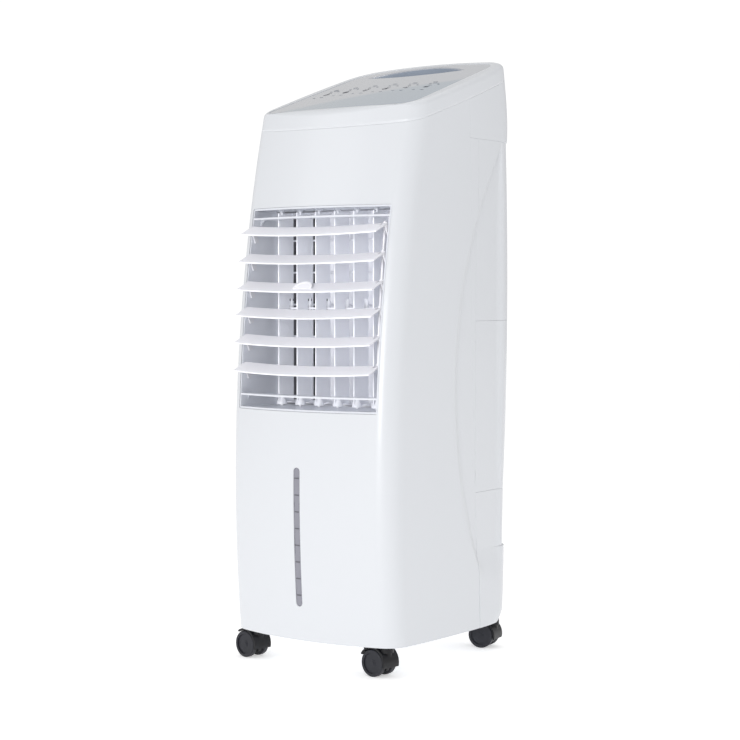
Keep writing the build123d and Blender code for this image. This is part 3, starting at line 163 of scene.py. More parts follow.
class Plan:
    """Plan outline of the body at one height: front arc, corner, side, corner, rear arc."""

    def __init__(self, z, inset, rear):
        self.r = CROWN_Y - front_y(z) - inset
        xf, xr = HALF_FRONT - inset, HALF_REAR - inset
        yf = CROWN_Y - math.sqrt(self.r ** 2 - xf ** 2)
        yr = rear - inset - REAR_SAG
        side = circle_through((xf, yf), (HALF_MID - inset, 0.0), (xr, yr))
        back = circle_through((xr, yr), (0.0, rear - inset), (-xr, yr))
        self.side, self.back = side, back
        self.rc1, self.rc2 = CORNER_FRONT - inset, CORNER_REAR - inset
        crown = (0.0, CROWN_Y)
        self.c1 = meet(crown, self.r - self.rc1, side[:2], side[2] - self.rc1,
                       (xf - self.rc1, yf + self.rc1))
        self.c2 = meet(back[:2], back[2] - self.rc2, side[:2], side[2] - self.rc2,
                       (xr - self.rc2, yr - self.rc2))
        self.a_front = math.atan2(self.c1[1] - CROWN_Y, self.c1[0])
        self.a_side1 = math.atan2(self.c1[1] - side[1], self.c1[0] - side[0])
        self.a_side2 = math.atan2(self.c2[1] - side[1], self.c2[0] - side[0])
        self.a_back = math.atan2(self.c2[1] - back[1], self.c2[0] - back[0])
        self.x_front = self.r * math.cos(self.a_front)
        self.y_side1 = side[1] + side[2] * math.sin(self.a_side1)
        self.y_side2 = side[1] + side[2] * math.sin(self.a_side2)
        self.x_back = back[0] + back[2] * math.cos(self.a_back)

    def side_u(self, y):
        """Place along the outline of a point on the side."""
        return 2 + (y - self.y_side1) / (self.y_side2 - self.y_side1)

    def point(self, u):
        """Point at place u: 0 front middle, 1 and 2 front corner, 3 and 4 rear corner, 5 rear middle."""
        s = -1.0 if u < 0 else 1.0
        u = abs(u)
        if u <= 1:
            x = u * self.x_front
            return s * x, CROWN_Y - math.sqrt(self.r ** 2 - x * x)
        if u <= 2:
            a = self.a_front + (self.a_side1 - self.a_front) * (u - 1)
            return s * (self.c1[0] + self.rc1 * math.cos(a)), self.c1[1] + self.rc1 * math.sin(a)
        if u <= 3:
            y = self.y_side1 + (self.y_side2 - self.y_side1) * (u - 2)
            cx, cy, r = self.side
            return s * (cx + math.sqrt(r * r - (y - cy) ** 2)), y
        if u <= 4:
            a = self.a_side2 + (self.a_back - self.a_side2) * (u - 3)
            return s * (self.c2[0] + self.rc2 * math.cos(a)), self.c2[1] + self.rc2 * math.sin(a)
        x = self.x_back * (5 - u)
        cx, cy, r = self.back
        return s * x, cy + math.sqrt(r * r - x * x)


HOLLOW = circle_through((118.0, 704.0), (-2.0, 395.0), (45.0, 150.0))


def hollow(y, z):
    """Depth of the wide D-shaped hollow in the side at a point."""
    rim = HOLLOW[2] - math.hypot(y - HOLLOW[0], z - HOLLOW[1])
    fade = smooth((z - HOLLOW_LOW_Z) / HOLLOW_FADE)
    back = smooth((HOLLOW_BACK - y) / HOLLOW_BACK_RIM)
    return HOLLOW_DEPTH * fade * smooth(rim / HOLLOW_RIM) * back


def rim_y(z, inward):
    """Front edge of the hollow at a height, or of a line further in."""
    reach = (HOLLOW[2] - inward) ** 2 - (z - HOLLOW[1]) ** 2
    return HOLLOW[0] - math.sqrt(max(reach, 0.0))


def seam_y(z):
    """Depth of the side seam between the front and rear housings."""
    return SEAM_Y + (SEAM_TOP_Z - z) * SEAM_LEAN


def top_z(x, y, depth=0.0):
    """Height of the slanted top, or of a layer under it."""
    return TOP_FRONT_Z + TOP_SLOPE * (y - TOP_FRONT_Y) - x * x / (2 * TOP_CROWN_R) - depth


# ---- mesh helpers ---------------------------------------------------------------
def new_object(name, verts, faces, look, body):
    """Mesh object that rides on a body of the frame."""
    mesh = bpy.data.meshes.new(name)
    mesh.from_pydata(verts, [], faces)
    mesh.validate()
    obj = bpy.data.objects.new(name, mesh)
    bpy.context.scene.collection.objects.link(obj)
    obj.data.materials.append(look)
    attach(obj, body)
    return obj


def recalc(obj):
    """Outward normals."""
    bm = bmesh.new()
    bm.from_mesh(obj.data)
    bmesh.ops.recalc_face_normals(bm, faces=bm.faces)
    bm.to_mesh(obj.data)
    bm.free()


EDGE_ANGLE = 35.0
EDGE_STEPS = 2
NORMAL_WEIGHT = 60


def finish_edges(obj, width):
    """Small rounded edges and smooth shading."""
    for polygon in obj.data.polygons:
        polygon.use_smooth = True
    if width:
        bevel = obj.modifiers.new("edges", "BEVEL")
        bevel.width = width * MM
        bevel.segments = EDGE_STEPS
        bevel.limit_method = "ANGLE"
        bevel.angle_limit = math.radians(EDGE_ANGLE)
        bevel.use_clamp_overlap = True
        bevel.harden_normals = False
    normals = obj.modifiers.new("normals", "WEIGHTED_NORMAL")
    normals.keep_sharp = True
    normals.weight = NORMAL_WEIGHT


def cut(obj, cutter):
    """Boolean difference, applied, with the cutter removed."""
    mod = obj.modifiers.new("cut", "BOOLEAN")
    mod.operation = "DIFFERENCE"
    mod.solver = "EXACT"
    mod.object = cutter
    bpy.context.view_layer.update()
    evaluated = obj.evaluated_get(bpy.context.evaluated_depsgraph_get())
    mesh = bpy.data.meshes.new_from_object(evaluated)
    obj.modifiers.remove(mod)
    old = obj.data
    obj.data = mesh
    mesh.name = obj.name
    bpy.data.meshes.remove(old)
    bpy.data.objects.remove(cutter)


def rounded_rectangle(a0, a1, b0, b1, radius, steps):
    """Points round a rectangle with rounded corners."""
    corners = ((a1 - radius, b1 - radius), (a0 + radius, b1 - radius),
               (a0 + radius, b0 + radius), (a1 - radius, b0 + radius))
    ring = []
    for quarter, (ca, cb) in enumerate(corners):
        for k in range(steps + 1):
            t = math.radians(90 * quarter + 90 * k / steps)
            ring.append((ca + radius * math.cos(t), cb + radius * math.sin(t)))
    return ring


def prism_faces(n):
    """Faces of a closed prism whose two ends have n points each."""
    faces = [tuple(range(n)), tuple(range(2 * n - 1, n - 1, -1))]
    return faces + [(k, (k + 1) % n, n + (k + 1) % n, n + k) for k in range(n)]


def round_box(x0, x1, y0, y1, z0, z1, radius, steps=6):
    """Cutter in body millimetres, a box whose edges along the depth are rounded."""
    ring = rounded_rectangle(x0, x1, z0, z1, radius, steps)
    verts = [world(x, y0, z) for x, z in ring] + [world(x, y1, z) for x, z in ring]
    mesh = bpy.data.meshes.new("cutter")
    mesh.from_pydata(verts, [], prism_faces(len(ring)))
    obj = bpy.data.objects.new("cutter", mesh)
    bpy.context.scene.collection.objects.link(obj)
    recalc(obj)
    return obj


def join(objs):
    """One object from several, for a single cut."""
    bm = bmesh.new()
    for o in objs:
        bm.from_mesh(o.data)
    mesh = bpy.data.meshes.new("cutters")
    bm.to_mesh(mesh)
    bm.free()
    for o in objs:
        bpy.data.objects.remove(o)
    whole = bpy.data.objects.new("cutters", mesh)
    bpy.context.scene.collection.objects.link(whole)
    return whole


PLANS = {}


def plan_at(z, inset, rear):
    """Plan outline, kept so that each is worked out once."""
    key = (round(z, 3), round(inset, 3), rear)
    if key not in PLANS:
        PLANS[key] = Plan(z, inset, rear(z))
    return PLANS[key]


def levels(low, high, step):
    """Even heights from low to high."""
    count = max(1, round((high - low) / step))
    return [low + (high - low) * k / count for k in range(count + 1)]


def to_seam(low, depth, count):
    """Rows that climb from a level to the joint under the top cover."""
    return [(low, k / count, depth) for k in range(1, count + 1)]


HEIGHT_ROUNDS = 5


def height(row, column, rear):
    """Height of a row at one column, found by a few rounds."""
    if not isinstance(row, tuple):
        return row
    low, share, depth = row
    z = low
    for _ in range(HEIGHT_ROUNDS):
        x, y = plan_at(z, 0.0, rear).point(column(z, plan_at(z, 0.0, rear)))
        z = low + (top_z(x, y, depth) - low) * share
    return z


def fixed(u):
    """Column at a fixed place."""
    return lambda z, plan: u


def on_side(share, start, end, sign):
    """Column on the side, a share of the way between two depth lines."""
    def place(z, plan):
        y0, y1 = start(z, plan), end(z, plan)
        return sign * plan.side_u(y0 + (y1 - y0) * share)
    return place


FRONT_ZONE = (0.10, 0.60)   # least and most share of a side in front of the hollow's rim
RIM_ZONE = (0.12, 0.90)     # least width of the rim itself, and where it ends at the latest


def zoned(part, share, start, end, sign):
    """Column in front of, on, or behind the hollow's rim."""
    def place(z, plan):
        y0, y1 = start(z, plan), end(z, plan)
        long = y1 - y0
        a = min(max(rim_y(z, 0.0), y0 + FRONT_ZONE[0] * long), y0 + FRONT_ZONE[1] * long)
        b = min(max(rim_y(z, HOLLOW_RIM), a + RIM_ZONE[0] * long), y0 + RIM_ZONE[1] * long)
        ends = (y0, a, b, y1)
        return sign * plan.side_u(ends[part] + (ends[part + 1] - ends[part]) * share)
    return place


def half_outline(sign, first, last, parts):
    """Columns of one half: parts are counts for front arc, corner, side, corner, rear arc."""
    front, corner, side, rear_corner, back = parts
    columns = [fixed(sign * k / front) for k in range(front)]
    columns += [fixed(sign * (1 + k / corner)) for k in range(corner)]
    for part, count in enumerate(side):
        columns += [zoned(part, k / count, first, last, sign) for k in range(count)]
    columns.append(on_side(1.0, first, last, sign))
    columns += [fixed(sign * (3 + k / rear_corner)) for k in range(1, rear_corner + 1)]
    columns += [fixed(sign * (4 + k / back)) for k in range(1, back + 1)]
    return columns


def rear_outline(first, parts):
    """Columns from the left side round the rear to the right side."""
    right = half_outline(1, first, side_end, parts)
    left = half_outline(-1, first, side_end, parts)[:-1]
    return right + left[::-1]


def side_start(z, plan):
    """Depth where the side begins behind the front corner."""
    return plan.y_side1


def side_end(z, plan):
    """Depth where the side ends at the rear corner."""
    return plan.y_side2


def no_pull(u, z):
    """No inward pull of the outline."""
    return 0.0


SIDE_SPAN = (2.0, 3.1)      # places along the outline where the side's hollow can lie


def shell_faces(rows, columns):
    """Faces of a closed wall: outer grid, inner grid and the four edges between them."""
    base, faces = rows * columns, []
    for i in range(rows - 1):
        for j in range(columns - 1):
            a, b = i * columns + j, i * columns + j + 1
            c, d = b + columns, a + columns
            faces += [(a, b, c, d), (base + d, base + c, base + b, base + a)]
    for i in (0, rows - 1):
        for j in range(columns - 1):
            a, b = i * columns + j, i * columns + j + 1
            faces.append((a, b, base + b, base + a))
    for j in (0, columns - 1):
        for i in range(rows - 1):
            a, d = i * columns + j, (i + 1) * columns + j
            faces.append((a, d, base + d, base + a))
    return faces


def shell(name, columns, rows, rear, look, body, hollowed=True, wall=WALL, out=0.0, pull=no_pull):
    """Wall of the body between rows of heights and columns along the outline, as a closed solid."""
    outer, inner = [], []
    for row in rows:
        for column in columns:
            z = height(row, column, rear)
            u = column(z, plan_at(z, 0.0, rear))
            x, y = plan_at(z, out, rear).point(u)
            on_flank = hollowed and SIDE_SPAN[0] < abs(u) < SIDE_SPAN[1]
            depth = pull(u, z) + (hollow(y, z) if on_flank else 0.0)
            if depth:
                x, y = plan_at(z, out + depth, rear).point(u)
            xi, yi = plan_at(z, out + wall + depth, rear).point(u)
            outer.append(world(x, y, z))
            inner.append(world(xi, yi, z))
    obj = new_object(name, outer + inner, shell_faces(len(rows), len(columns)), look, body)
    recalc(obj)
    return obj


# ---- materials --------------------------------------------------------------------
BROAD_SCALE = 7.0
BROAD_DETAIL = 4.0
FINE_DETAIL = 3.0
RELIEF_DEPTH = 0.0004
COAT_ROUGH = 0.08


def material(name, color, rough, spread=0.06, grain=900.0, bump=0.02, tone=0.02, metal=0.0, specular=0.5,
             coat=0.0, through=0.0, clear=0.0):
    """Surface with slight tone and roughness variation and a fine grain."""
    mat = bpy.data.materials.new(name)
    mat.use_nodes = True
    nodes, links = mat.node_tree.nodes, mat.node_tree.links
    shader = nodes["Principled BSDF"]
    place = nodes.new("ShaderNodeTexCoord")
    broad = nodes.new("ShaderNodeTexNoise")
    broad.inputs["Scale"].default_value = BROAD_SCALE
    broad.inputs["Detail"].default_value = BROAD_DETAIL
    fine = nodes.new("ShaderNodeTexNoise")
    fine.inputs["Scale"].default_value = grain
    fine.inputs["Detail"].default_value = FINE_DETAIL
    for noise in (broad, fine):
        links.new(place.outputs["Object"], noise.inputs["Vector"])
    ramp = nodes.new("ShaderNodeMapRange")
    ramp.inputs["From Min"].default_value = 0.1
    ramp.inputs["From Max"].default_value = 0.9
    ramp.inputs["To Min"].default_value = max(rough - spread, 0.02)
    ramp.inputs["To Max"].default_value = min(rough + spread, 1.0)
    links.new(broad.outputs["Fac"], ramp.inputs["Value"])
    links.new(ramp.outputs["Result"], shader.inputs["Roughness"])
    tint = nodes.new("ShaderNodeMix")
    tint.data_type = "RGBA"
    tint.inputs["A"].default_value = (*[c * (1 - tone) for c in color], 1)
    tint.inputs["B"].default_value = (*[min(c * (1 + tone), 1) for c in color], 1)
    links.new(fine.outputs["Fac"], tint.inputs["Factor"])
    links.new(tint.outputs["Result"], shader.inputs["Base Color"])
    relief = nodes.new("ShaderNodeBump")
    relief.inputs["Strength"].default_value = bump
    relief.inputs["Distance"].default_value = RELIEF_DEPTH
    links.new(fine.outputs["Fac"], relief.inputs["Height"])
    links.new(relief.outputs["Normal"], shader.inputs["Normal"])
    shader.inputs["Metallic"].default_value = metal
    shader.inputs["Specular IOR Level"].default_value = specular
    shader.inputs["Coat Weight"].default_value = coat
    shader.inputs["Coat Roughness"].default_value = COAT_ROUGH
    shader.inputs["Transmission Weight"].default_value = clear
    if through:
        glow = nodes.new("ShaderNodeBsdfTranslucent")
        glow.inputs["Color"].default_value = (*color, 1)
        blend = nodes.new("ShaderNodeMixShader")
        blend.inputs["Fac"].default_value = through
        links.new(shader.outputs["BSDF"], blend.inputs[1])
        links.new(glow.outputs["BSDF"], blend.inputs[2])
        links.new(blend.outputs["Shader"], nodes["Material Output"].inputs["Surface"])
    return mat


def paint_light_and_shade_tones(mat, lean, start, end, first, second, soft):
    """Colour that passes from one tone to another between two places of x * lean[0] + y * lean[1]; here it
    carries painted reflection and painted shade.
    """
    nodes, links = mat.node_tree.nodes, mat.node_tree.links
    place = nodes.new("ShaderNodeTexCoord")
    across = nodes.new("ShaderNodeVectorMath")
    across.operation = "DOT_PRODUCT"
    across.inputs[1].default_value = (*lean, 0.0)
    links.new(place.outputs["Object"], across.inputs[0])
    step = nodes.new("ShaderNodeMapRange")
    step.interpolation_type = "SMOOTHSTEP" if soft else "LINEAR"
    step.inputs["From Min"].default_value = start
    step.inputs["From Max"].default_value = end
    links.new(across.outputs["Value"], step.inputs["Value"])
    mix = nodes.new("ShaderNodeMix")
    mix.data_type = "RGBA"
    mix.inputs["A"].default_value = (*first, 1)
    mix.inputs["B"].default_value = (*second, 1)
    links.new(step.outputs["Result"], mix.inputs["Factor"])
    links.new(mix.outputs["Result"], nodes["Principled BSDF"].inputs["Base Color"])


# Painted reflection: the panel's darker blue-grey front and paler grey rear stand in for dimmer and brighter
# surroundings reflected in the glossy sheet.
PANEL_REFLECTION_LEAN = -0.62          # slant of the line where the panel's two greys meet
PANEL_DIM_REFLECTION_GREY = (0.38, 0.445, 0.515)
PANEL_BRIGHT_REFLECTION_GREY = (0.53, 0.545, 0.585)
DUCT_GREY = (0.76, 0.77, 0.82)
# Painted shade: the dark grey stands in for the shade deep in the outlet beside the wheel.
SCROLL_PAINTED_SHADE_GREY = (0.20, 0.20, 0.22)


def panel_material():
    """Glossy control sheet with a painted reflection: a darker blue-grey front meets a paler grey behind
    along a soft slanting line.
    """
    mat = material("panel_sheet_painted_reflection", (0.45, 0.49, 0.53), 0.16, spread=0.03, bump=0.004, coat=0.6)
    paint_light_and_shade_tones(mat, (PANEL_REFLECTION_LEAN, 1.0), MID_Y - 0.040, MID_Y - 0.014, PANEL_DIM_REFLECTION_GREY,
                    PANEL_BRIGHT_REFLECTION_GREY, True)
    return mat


def casing_material():
    """Light slanting duct wall; past a line on the left, by the scroll beside the wheel, the casing is
    painted a darker grey as painted shade.
    """
    mat = material("blower_casing_plastic", DUCT_GREY, 0.46, spread=0.05, bump=0.02, tone=0.015)
    paint_light_and_shade_tones(mat, (1.0, 0.0), MID_X - 0.104, MID_X - 0.100, SCROLL_PAINTED_SHADE_GREY, DUCT_GREY, False)
    return mat


WHITE = material("white_shell_plastic", (0.715, 0.733, 0.765), 0.30, spread=0.04, bump=0.01, tone=0.006,
                 coat=0.15)
VANE = material("white_vane_plastic", (0.80, 0.80, 0.83), 0.36, spread=0.05, bump=0.012, tone=0.008,
                through=0.35)
SURROUND = material("outlet_frame_plastic", (0.76, 0.78, 0.83), 0.36, spread=0.05, bump=0.012, tone=0.008)
FIN = material("grey_fin_plastic", (0.91, 0.92, 0.96), 0.40, spread=0.05, bump=0.015, tone=0.01, through=0.30)
DUCT = material("grey_duct_plastic", DUCT_GREY, 0.46, spread=0.05, bump=0.02, tone=0.015)
CASING = casing_material()
PANEL = panel_material()
WELL = material("handle_well_plastic", (0.33, 0.38, 0.46), 0.34, spread=0.05, bump=0.02)
MARK = material("printed_marks", (0.11, 0.11, 0.13), 0.5, spread=0.05, bump=0.01)
PRINT = material("printed_grey", (0.20, 0.22, 0.26), 0.5, spread=0.05, bump=0.01)
WINDOW = material("window_smoke", (0.30, 0.30, 0.35), 0.20, spread=0.04, bump=0.01, clear=0.15, coat=0.3)
TANK = material("tank_plastic", (0.60, 0.65, 0.70), 0.30, spread=0.05, bump=0.02, through=0.3)
BOARD = material("board_green", (0.03, 0.16, 0.06), 0.4, spread=0.1, bump=0.05, tone=0.15)
DARK = material("dark_plastic", (0.030, 0.030, 0.034), 0.48, spread=0.08, bump=0.05, tone=0.1)
CASTOR = material("castor_black", (0.008, 0.008, 0.010), 0.36, spread=0.08, bump=0.05, tone=0.1, specular=0.3)
WHEEL = material("wheel_rubber", (0.020, 0.021, 0.028), 0.45, spread=0.08, bump=0.08, tone=0.1, specular=0.35)
STEEL = material("zinc_steel", (0.55, 0.55, 0.57), 0.32, spread=0.1, bump=0.03, metal=1.0)
BRONZE = material("bearing_bronze", (0.45, 0.28, 0.12), 0.35, spread=0.1, bump=0.03, metal=1.0)
ROTOR = material("rotor_plastic", (0.10, 0.10, 0.115), 0.45, spread=0.08, bump=0.05, tone=0.1)
MOTOR = material("motor_enamel", (0.09, 0.09, 0.10), 0.4, spread=0.1, bump=0.04)
PAD = material("pad_paper", (0.33, 0.22, 0.11), 0.85, spread=0.08, grain=350.0, bump=0.5, tone=0.2)
FRAME = material("frame_plastic", (0.62, 0.63, 0.64), 0.5, spread=0.06, bump=0.03)
HOSE = material("hose_rubber", (0.60, 0.63, 0.64), 0.35, spread=0.06, bump=0.02, through=0.2)
NET = material("filter_net", (0.10, 0.105, 0.11), 0.7, spread=0.08, grain=1600.0, bump=0.3, tone=0.15)
CORD = material("cord_vinyl", (0.55, 0.56, 0.57), 0.5, spread=0.06, bump=0.04)

# Looks and edge widths of the pieces shown as they are, by the start of their names.
# The first entry that fits is taken.
CAD_LOOKS = {
    "level_window": WINDOW, "level_marks": MARK, "base_pan": WHITE, "control_panel": PANEL, "key_marks": MARK,
    "control_board": BOARD, "louver_frame": SURROUND, "swing_motor": DARK, "outlet_guard": DUCT,
    "blower_casing": CASING, "blower_lid": DUCT, "wheel_bearing": BRONZE, "fan_motor": MOTOR,
    "cooling_pad": PAD, "pad_frame": FRAME, "drip_tray": FRAME, "pump_hose": HOSE, "water_pump": DARK,
    "pump_bracket": FRAME, "castor_stems": STEEL, "cord_hooks": WHITE, "power_cord": CORD, "mains_plug": CORD,
    "housing_screws": STEEL, "louver_link": VANE, "fin_link": FIN, "crossflow_wheel": ROTOR,
    "motor_shaft": STEEL, "water_tank": TANK, "tank_latch": WHITE, "dust_filter": NET, "louver_blade": VANE,
    "swing_fin": FIN, "castor_hood": CASTOR, "castor_wheels": WHEEL, "brake_lever": CASTOR,
}
EDGES = {"castor": 0.5, "louver_blade": 0.35, "louver_frame": 0.3, "swing_fin": 0.3, "base_pan": 0.5,
         "tank_latch": 0.5, "cord_hooks": 0.5, "mains_plug": 0.7, "control_panel": 0.3, "brake": 0.5}
WELD_WITHIN = 0.00001


def by_start(table, name, other):
    """Entry of a table whose key begins the name."""
    return next((value for start, value in table.items() if name.startswith(start)), other)


def dress_cad_nodes():
    """Materials, rounded edges and smooth shading for the pieces shown as they are."""
    for name, obj in frame["nodes"].items():
        obj.data.materials.clear()
        obj.data.materials.append(by_start(CAD_LOOKS, name, WHITE))
        weld = obj.modifiers.new("weld", "WELD")
        weld.merge_threshold = WELD_WITHIN
        finish_edges(obj, by_start(EDGES, name, 0.0))


# ---- housings -------------------------------------------------------------------------
CLIMB_Z = 690.0
OPEN_CUT = (-260.0, -60.0)
WINDOW_CUT = (-260.0, -120.0)
WINDOW_HALF = 5.2
WINDOW_LOW = 87.0
WINDOW_HIGH = 270.0
WINDOW_ROUND = 5.19


def seam(z, plan):
    """Depth of the side seam, as an end of the side."""
    return seam_y(z)


def front_housing():
    """Front shell with its air outlet and the slot of the level window."""
    rows = levels(BASE_Z, CLIMB_Z, ROW_STEP) + to_seam(CLIMB_Z, COVER_DEPTH + JOINT, 8)
    parts = (22, 12, (14, 8, 6), 0, 0)
    right = half_outline(1, side_start, seam, parts)
    left = half_outline(-1, side_start, seam, parts)[1:]
    obj = shell("front_shell", left[::-1] + right, rows, rear_main, WHITE, "housing")
    cut(obj, round_box(-OPEN_HALF, OPEN_HALF, *OPEN_CUT, OPEN_LOW, OPEN_HIGH, OPEN_ROUND))
    cut(obj, round_box(-WINDOW_HALF, WINDOW_HALF, *WINDOW_CUT, WINDOW_LOW, WINDOW_HIGH, WINDOW_ROUND,
                       steps=8))
    finish_edges(obj, 0.35)
    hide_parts("front_housing")


STRIP_LOW = 256.0


def behind_seam(z, plan):
    """Front end of the rear housing, a joint behind the seam."""
    return seam_y(z) + JOINT


def strip_end(z, plan):
    """Rear end of the side strips, a joint before the covers."""
    return COVER_FRONT_Y - JOINT


def cover_start(z, plan):
    """Front end of the two rear covers."""
    return COVER_FRONT_Y


def rear_strips():
    """Narrow side strips of the rear housing between the seam and the covers."""
    for sign, side in ((1, "right"), (-1, "left")):
        columns = [on_side(k / 8, behind_seam, strip_end, sign) for k in range(9)]
        rows = levels(STRIP_LOW, BAND_Z - JOINT, ROW_STEP)
        strip = shell("rear_strip_" + side, columns, rows, rear_main, WHITE, "housing", wall=2 * WALL)
        finish_edges(strip, 0.25)
        yield strip


BAND_CLIMB_Z = 730.0


def rear_band():
    """Upper rear part of the rear housing."""
    columns = rear_outline(behind_seam, (0, 0, (6, 6, 6), 14, 16))
    rows = levels(BAND_Z, BAND_CLIMB_Z, 4.0) + to_seam(BAND_CLIMB_Z, COVER_DEPTH + JOINT, 8)
    obj = shell("rear_band", columns, rows, band_fit, WHITE, "housing")
    finish_edges(obj, 0.3)
    return obj


LINER_WALL = 2.2
LINER_GAP = 0.4
LINER_OPENING = (-100.0, 100.0, 80.0, 260.0, 246.0, 654.0, 6.0)


def rear_liner():
    """Inner frame behind the covers, open where the wet pad is."""
    columns = rear_outline(cover_start, (0, 0, (3, 3, 3), 8, 8))
    rows = levels(TANK_TOP_Z + 3, BAND_Z - 0.6, 20.0)
    obj = shell("rear_liner", columns, rows, rear_main, WHITE, "housing", hollowed=False, wall=LINER_WALL,
                out=WALL + HOLLOW_DEPTH + LINER_GAP)
    cut(obj, round_box(*LINER_OPENING))
    finish_edges(obj, 0.3)
    return obj


def rear_housing():
    """Strips, band and liner, which together are the rear housing."""
    for piece in list(rear_strips()) + [rear_band(), rear_liner()]:
        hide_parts("rear_housing")


SLOT_SPANS = ((-90, -32), (-28, 28), (32, 90))
SLOT_CUT = (128.0, 200.0)
SLOT_PITCH = 12.0
SLOT_HIGH = 6.6
SLOT_ROUND = 3.2
NOTCH_HALF = 22.0
NOTCH_CUT = (150.0, 190.0)
NOTCH_REACH = 4.0
NOTCH_ROUND = 2.0


def rear_cover(name, low, high, first_slot, slot_rows, node, body):
    """U-shaped rear cover with rows of intake slots and a finger notch where the covers meet."""
    columns = rear_outline(cover_start, (0, 0, (7, 7, 10), 14, 16))
    obj = shell(name, columns, levels(low, high, ROW_STEP), rear_main, WHITE, body)
    cutters = []
    for i in range(slot_rows):
        z = first_slot + i * SLOT_PITCH
        for x0, x1 in SLOT_SPANS:
            cutters.append(round_box(x0, x1, *SLOT_CUT, z, z + SLOT_HIGH, SLOT_ROUND, steps=3))
    notch = low if low > COVER_SPLIT_Z else high
    cutters.append(round_box(-NOTCH_HALF, NOTCH_HALF, *NOTCH_CUT, notch - NOTCH_REACH, notch + NOTCH_REACH,
                             NOTCH_ROUND, steps=3))
    cut(obj, join(cutters))
    finish_edges(obj, 0.2)
    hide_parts(node)


# ---- base and tank face -----------------------------------------------------------------
PLATE_LOW = 1.2
PLATE_HIGH = 4.0
PLATE_GAP = 0.3
FOOT_FROM = 2.8             # place along the outline where the rounded rear foot sets in
FOOT_SPAN = 0.9


def tank_reach(z):
    """Rear reach of the tank face: full below the ledge, set in above it."""
    return rear_tank_high(z) if z > STEP_Z + 0.2 else rear_tank_low(z)


def foot_pull(u, z):
    """How far the rounded rear foot draws the outline in."""
    rise = min(max(FOOT_ROUND - (z - BASE_Z), 0.0), FOOT_ROUND)
    full = FOOT_ROUND - math.sqrt(FOOT_ROUND ** 2 - rise ** 2)
    return full * smooth((abs(u) - FOOT_FROM) / FOOT_SPAN)


def base_plate():
    """Underside plate of the base, set just above the skirt's lower edge."""
    spots = [k / 12 for k in range(60)] + [5.0] + [-k / 12 for k in range(59, 0, -1)]
    reach = rear_tank_low(BASE_Z)
    verts = []
    for z in (BASE_Z + PLATE_LOW, BASE_Z + PLATE_HIGH):
        for u in spots:
            x, y = Plan(BASE_Z, WALL + PLATE_GAP + foot_pull(u, z), reach).point(u)
            verts.append(world(x, y, z))
    obj = new_object("base_plate", verts, prism_faces(len(spots)), WHITE, "housing")
    recalc(obj)
    finish_edges(obj, 0.3)
    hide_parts("base_pan")


GRIP_HALF = 46.0
GRIP_LOW = 152.0
GRIP_HIGH = 186.0
GRIP_ROUND = 10.0
GRIP_WALL = 1.9
CUP_CUT = (132.0, 153.4)
CUP_FLOOR = 2.0
LATCH_Z = 207.0
LATCH_HOLE_R = 4.2
TANK_CUT = (120.0, 190.0)


def tank_start(z, plan):
    """Front end of the tank face, a joint behind the covers' front line or the seam."""
    return max(COVER_FRONT_Y + JOINT, seam_y(z) + JOINT)


def tank_face():
    """Rear panel of the tank with its ledge and grip opening, and the cup behind the grip."""
    columns = rear_outline(tank_start, (0, 0, (7, 7, 10), 14, 16))
    rows = levels(BASE_Z, BASE_Z + FOOT_ROUND, 2.0) + levels(BASE_Z + FOOT_ROUND + 4, STEP_Z, 5.0)
    rows += [STEP_Z + 0.4] + levels(STEP_Z + 5, TANK_TOP_Z - SPLIT_GAP, 5.0)
    obj = shell("tank_face_shell", columns, rows, tank_reach, WHITE, "tank", pull=foot_pull)
    cut(obj, round_box(-GRIP_HALF, GRIP_HALF, *TANK_CUT, GRIP_LOW, GRIP_HIGH, GRIP_ROUND))
    cut(obj, round_box(-LATCH_HOLE_R, LATCH_HOLE_R, *TANK_CUT, LATCH_Z - LATCH_HOLE_R, LATCH_Z + LATCH_HOLE_R,
                       LATCH_HOLE_R - 0.01))
    finish_edges(obj, 0.5)
    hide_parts("tank_face")
    wide = GRIP_HALF + GRIP_WALL
    cup = round_box(-wide, wide, *CUP_CUT, GRIP_LOW - GRIP_WALL, GRIP_HIGH + GRIP_WALL,
                    GRIP_ROUND + GRIP_WALL)
    cut(cup, round_box(-GRIP_HALF, GRIP_HALF, CUP_CUT[0] + CUP_FLOOR, TANK_CUT[1], GRIP_LOW, GRIP_HIGH,
                       GRIP_ROUND))
    cup.name = "tank_grip"
    cup.data.materials.append(WHITE)
    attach(cup, "tank")
    finish_edges(cup, 0.4)


# ---- top cover --------------------------------------------------------------------------
def plan_hull(node):
    """Convex plan outline of a CAD node, body millimetres."""
    vertices = frame["nodes"][node].data.vertices
    spots = sorted({((v.co.x - MID_X) / MM, (v.co.y - MID_Y) / MM) for v in vertices})

    def chain(points):
        line = []
        for p in points:
            while len(line) > 1:
                (ax, ay), (bx, by) = line[-2], line[-1]
                if (bx - ax) * (p[1] - ay) - (by - ay) * (p[0] - ax) > 0:
                    break
                line.pop()
            line.append(p)
        return line[:-1]

    return chain(spots) + chain(spots[::-1])


def reach_to(polygon, p, d):
    """Distance from a point along a direction to the first side of a polygon."""
    best = None
    for (ax, ay), (bx, by) in zip(polygon, polygon[1:] + polygon[:1]):
        ex, ey = bx - ax, by - ay
        det = d[0] * ey - d[1] * ex
        if abs(det) < 1e-9:
            continue
        t = ((ax - p[0]) * ey - (ay - p[1]) * ex) / det
        s = ((ax - p[0]) * d[1] - (ay - p[1]) * d[0]) / det
        if t > 0 and -1e-6 <= s <= 1 + 1e-6 and (best is None or t < best):
            best = t
    return best


RIM_START_Z = 790.0
RIM_ROUNDS = 6
RIM_PARTS = (30, 14, 24, 14, 20)
RIM_ROUND = 7.0
RIM_SHARE = 0.62
RIM_INWARD = 3.0
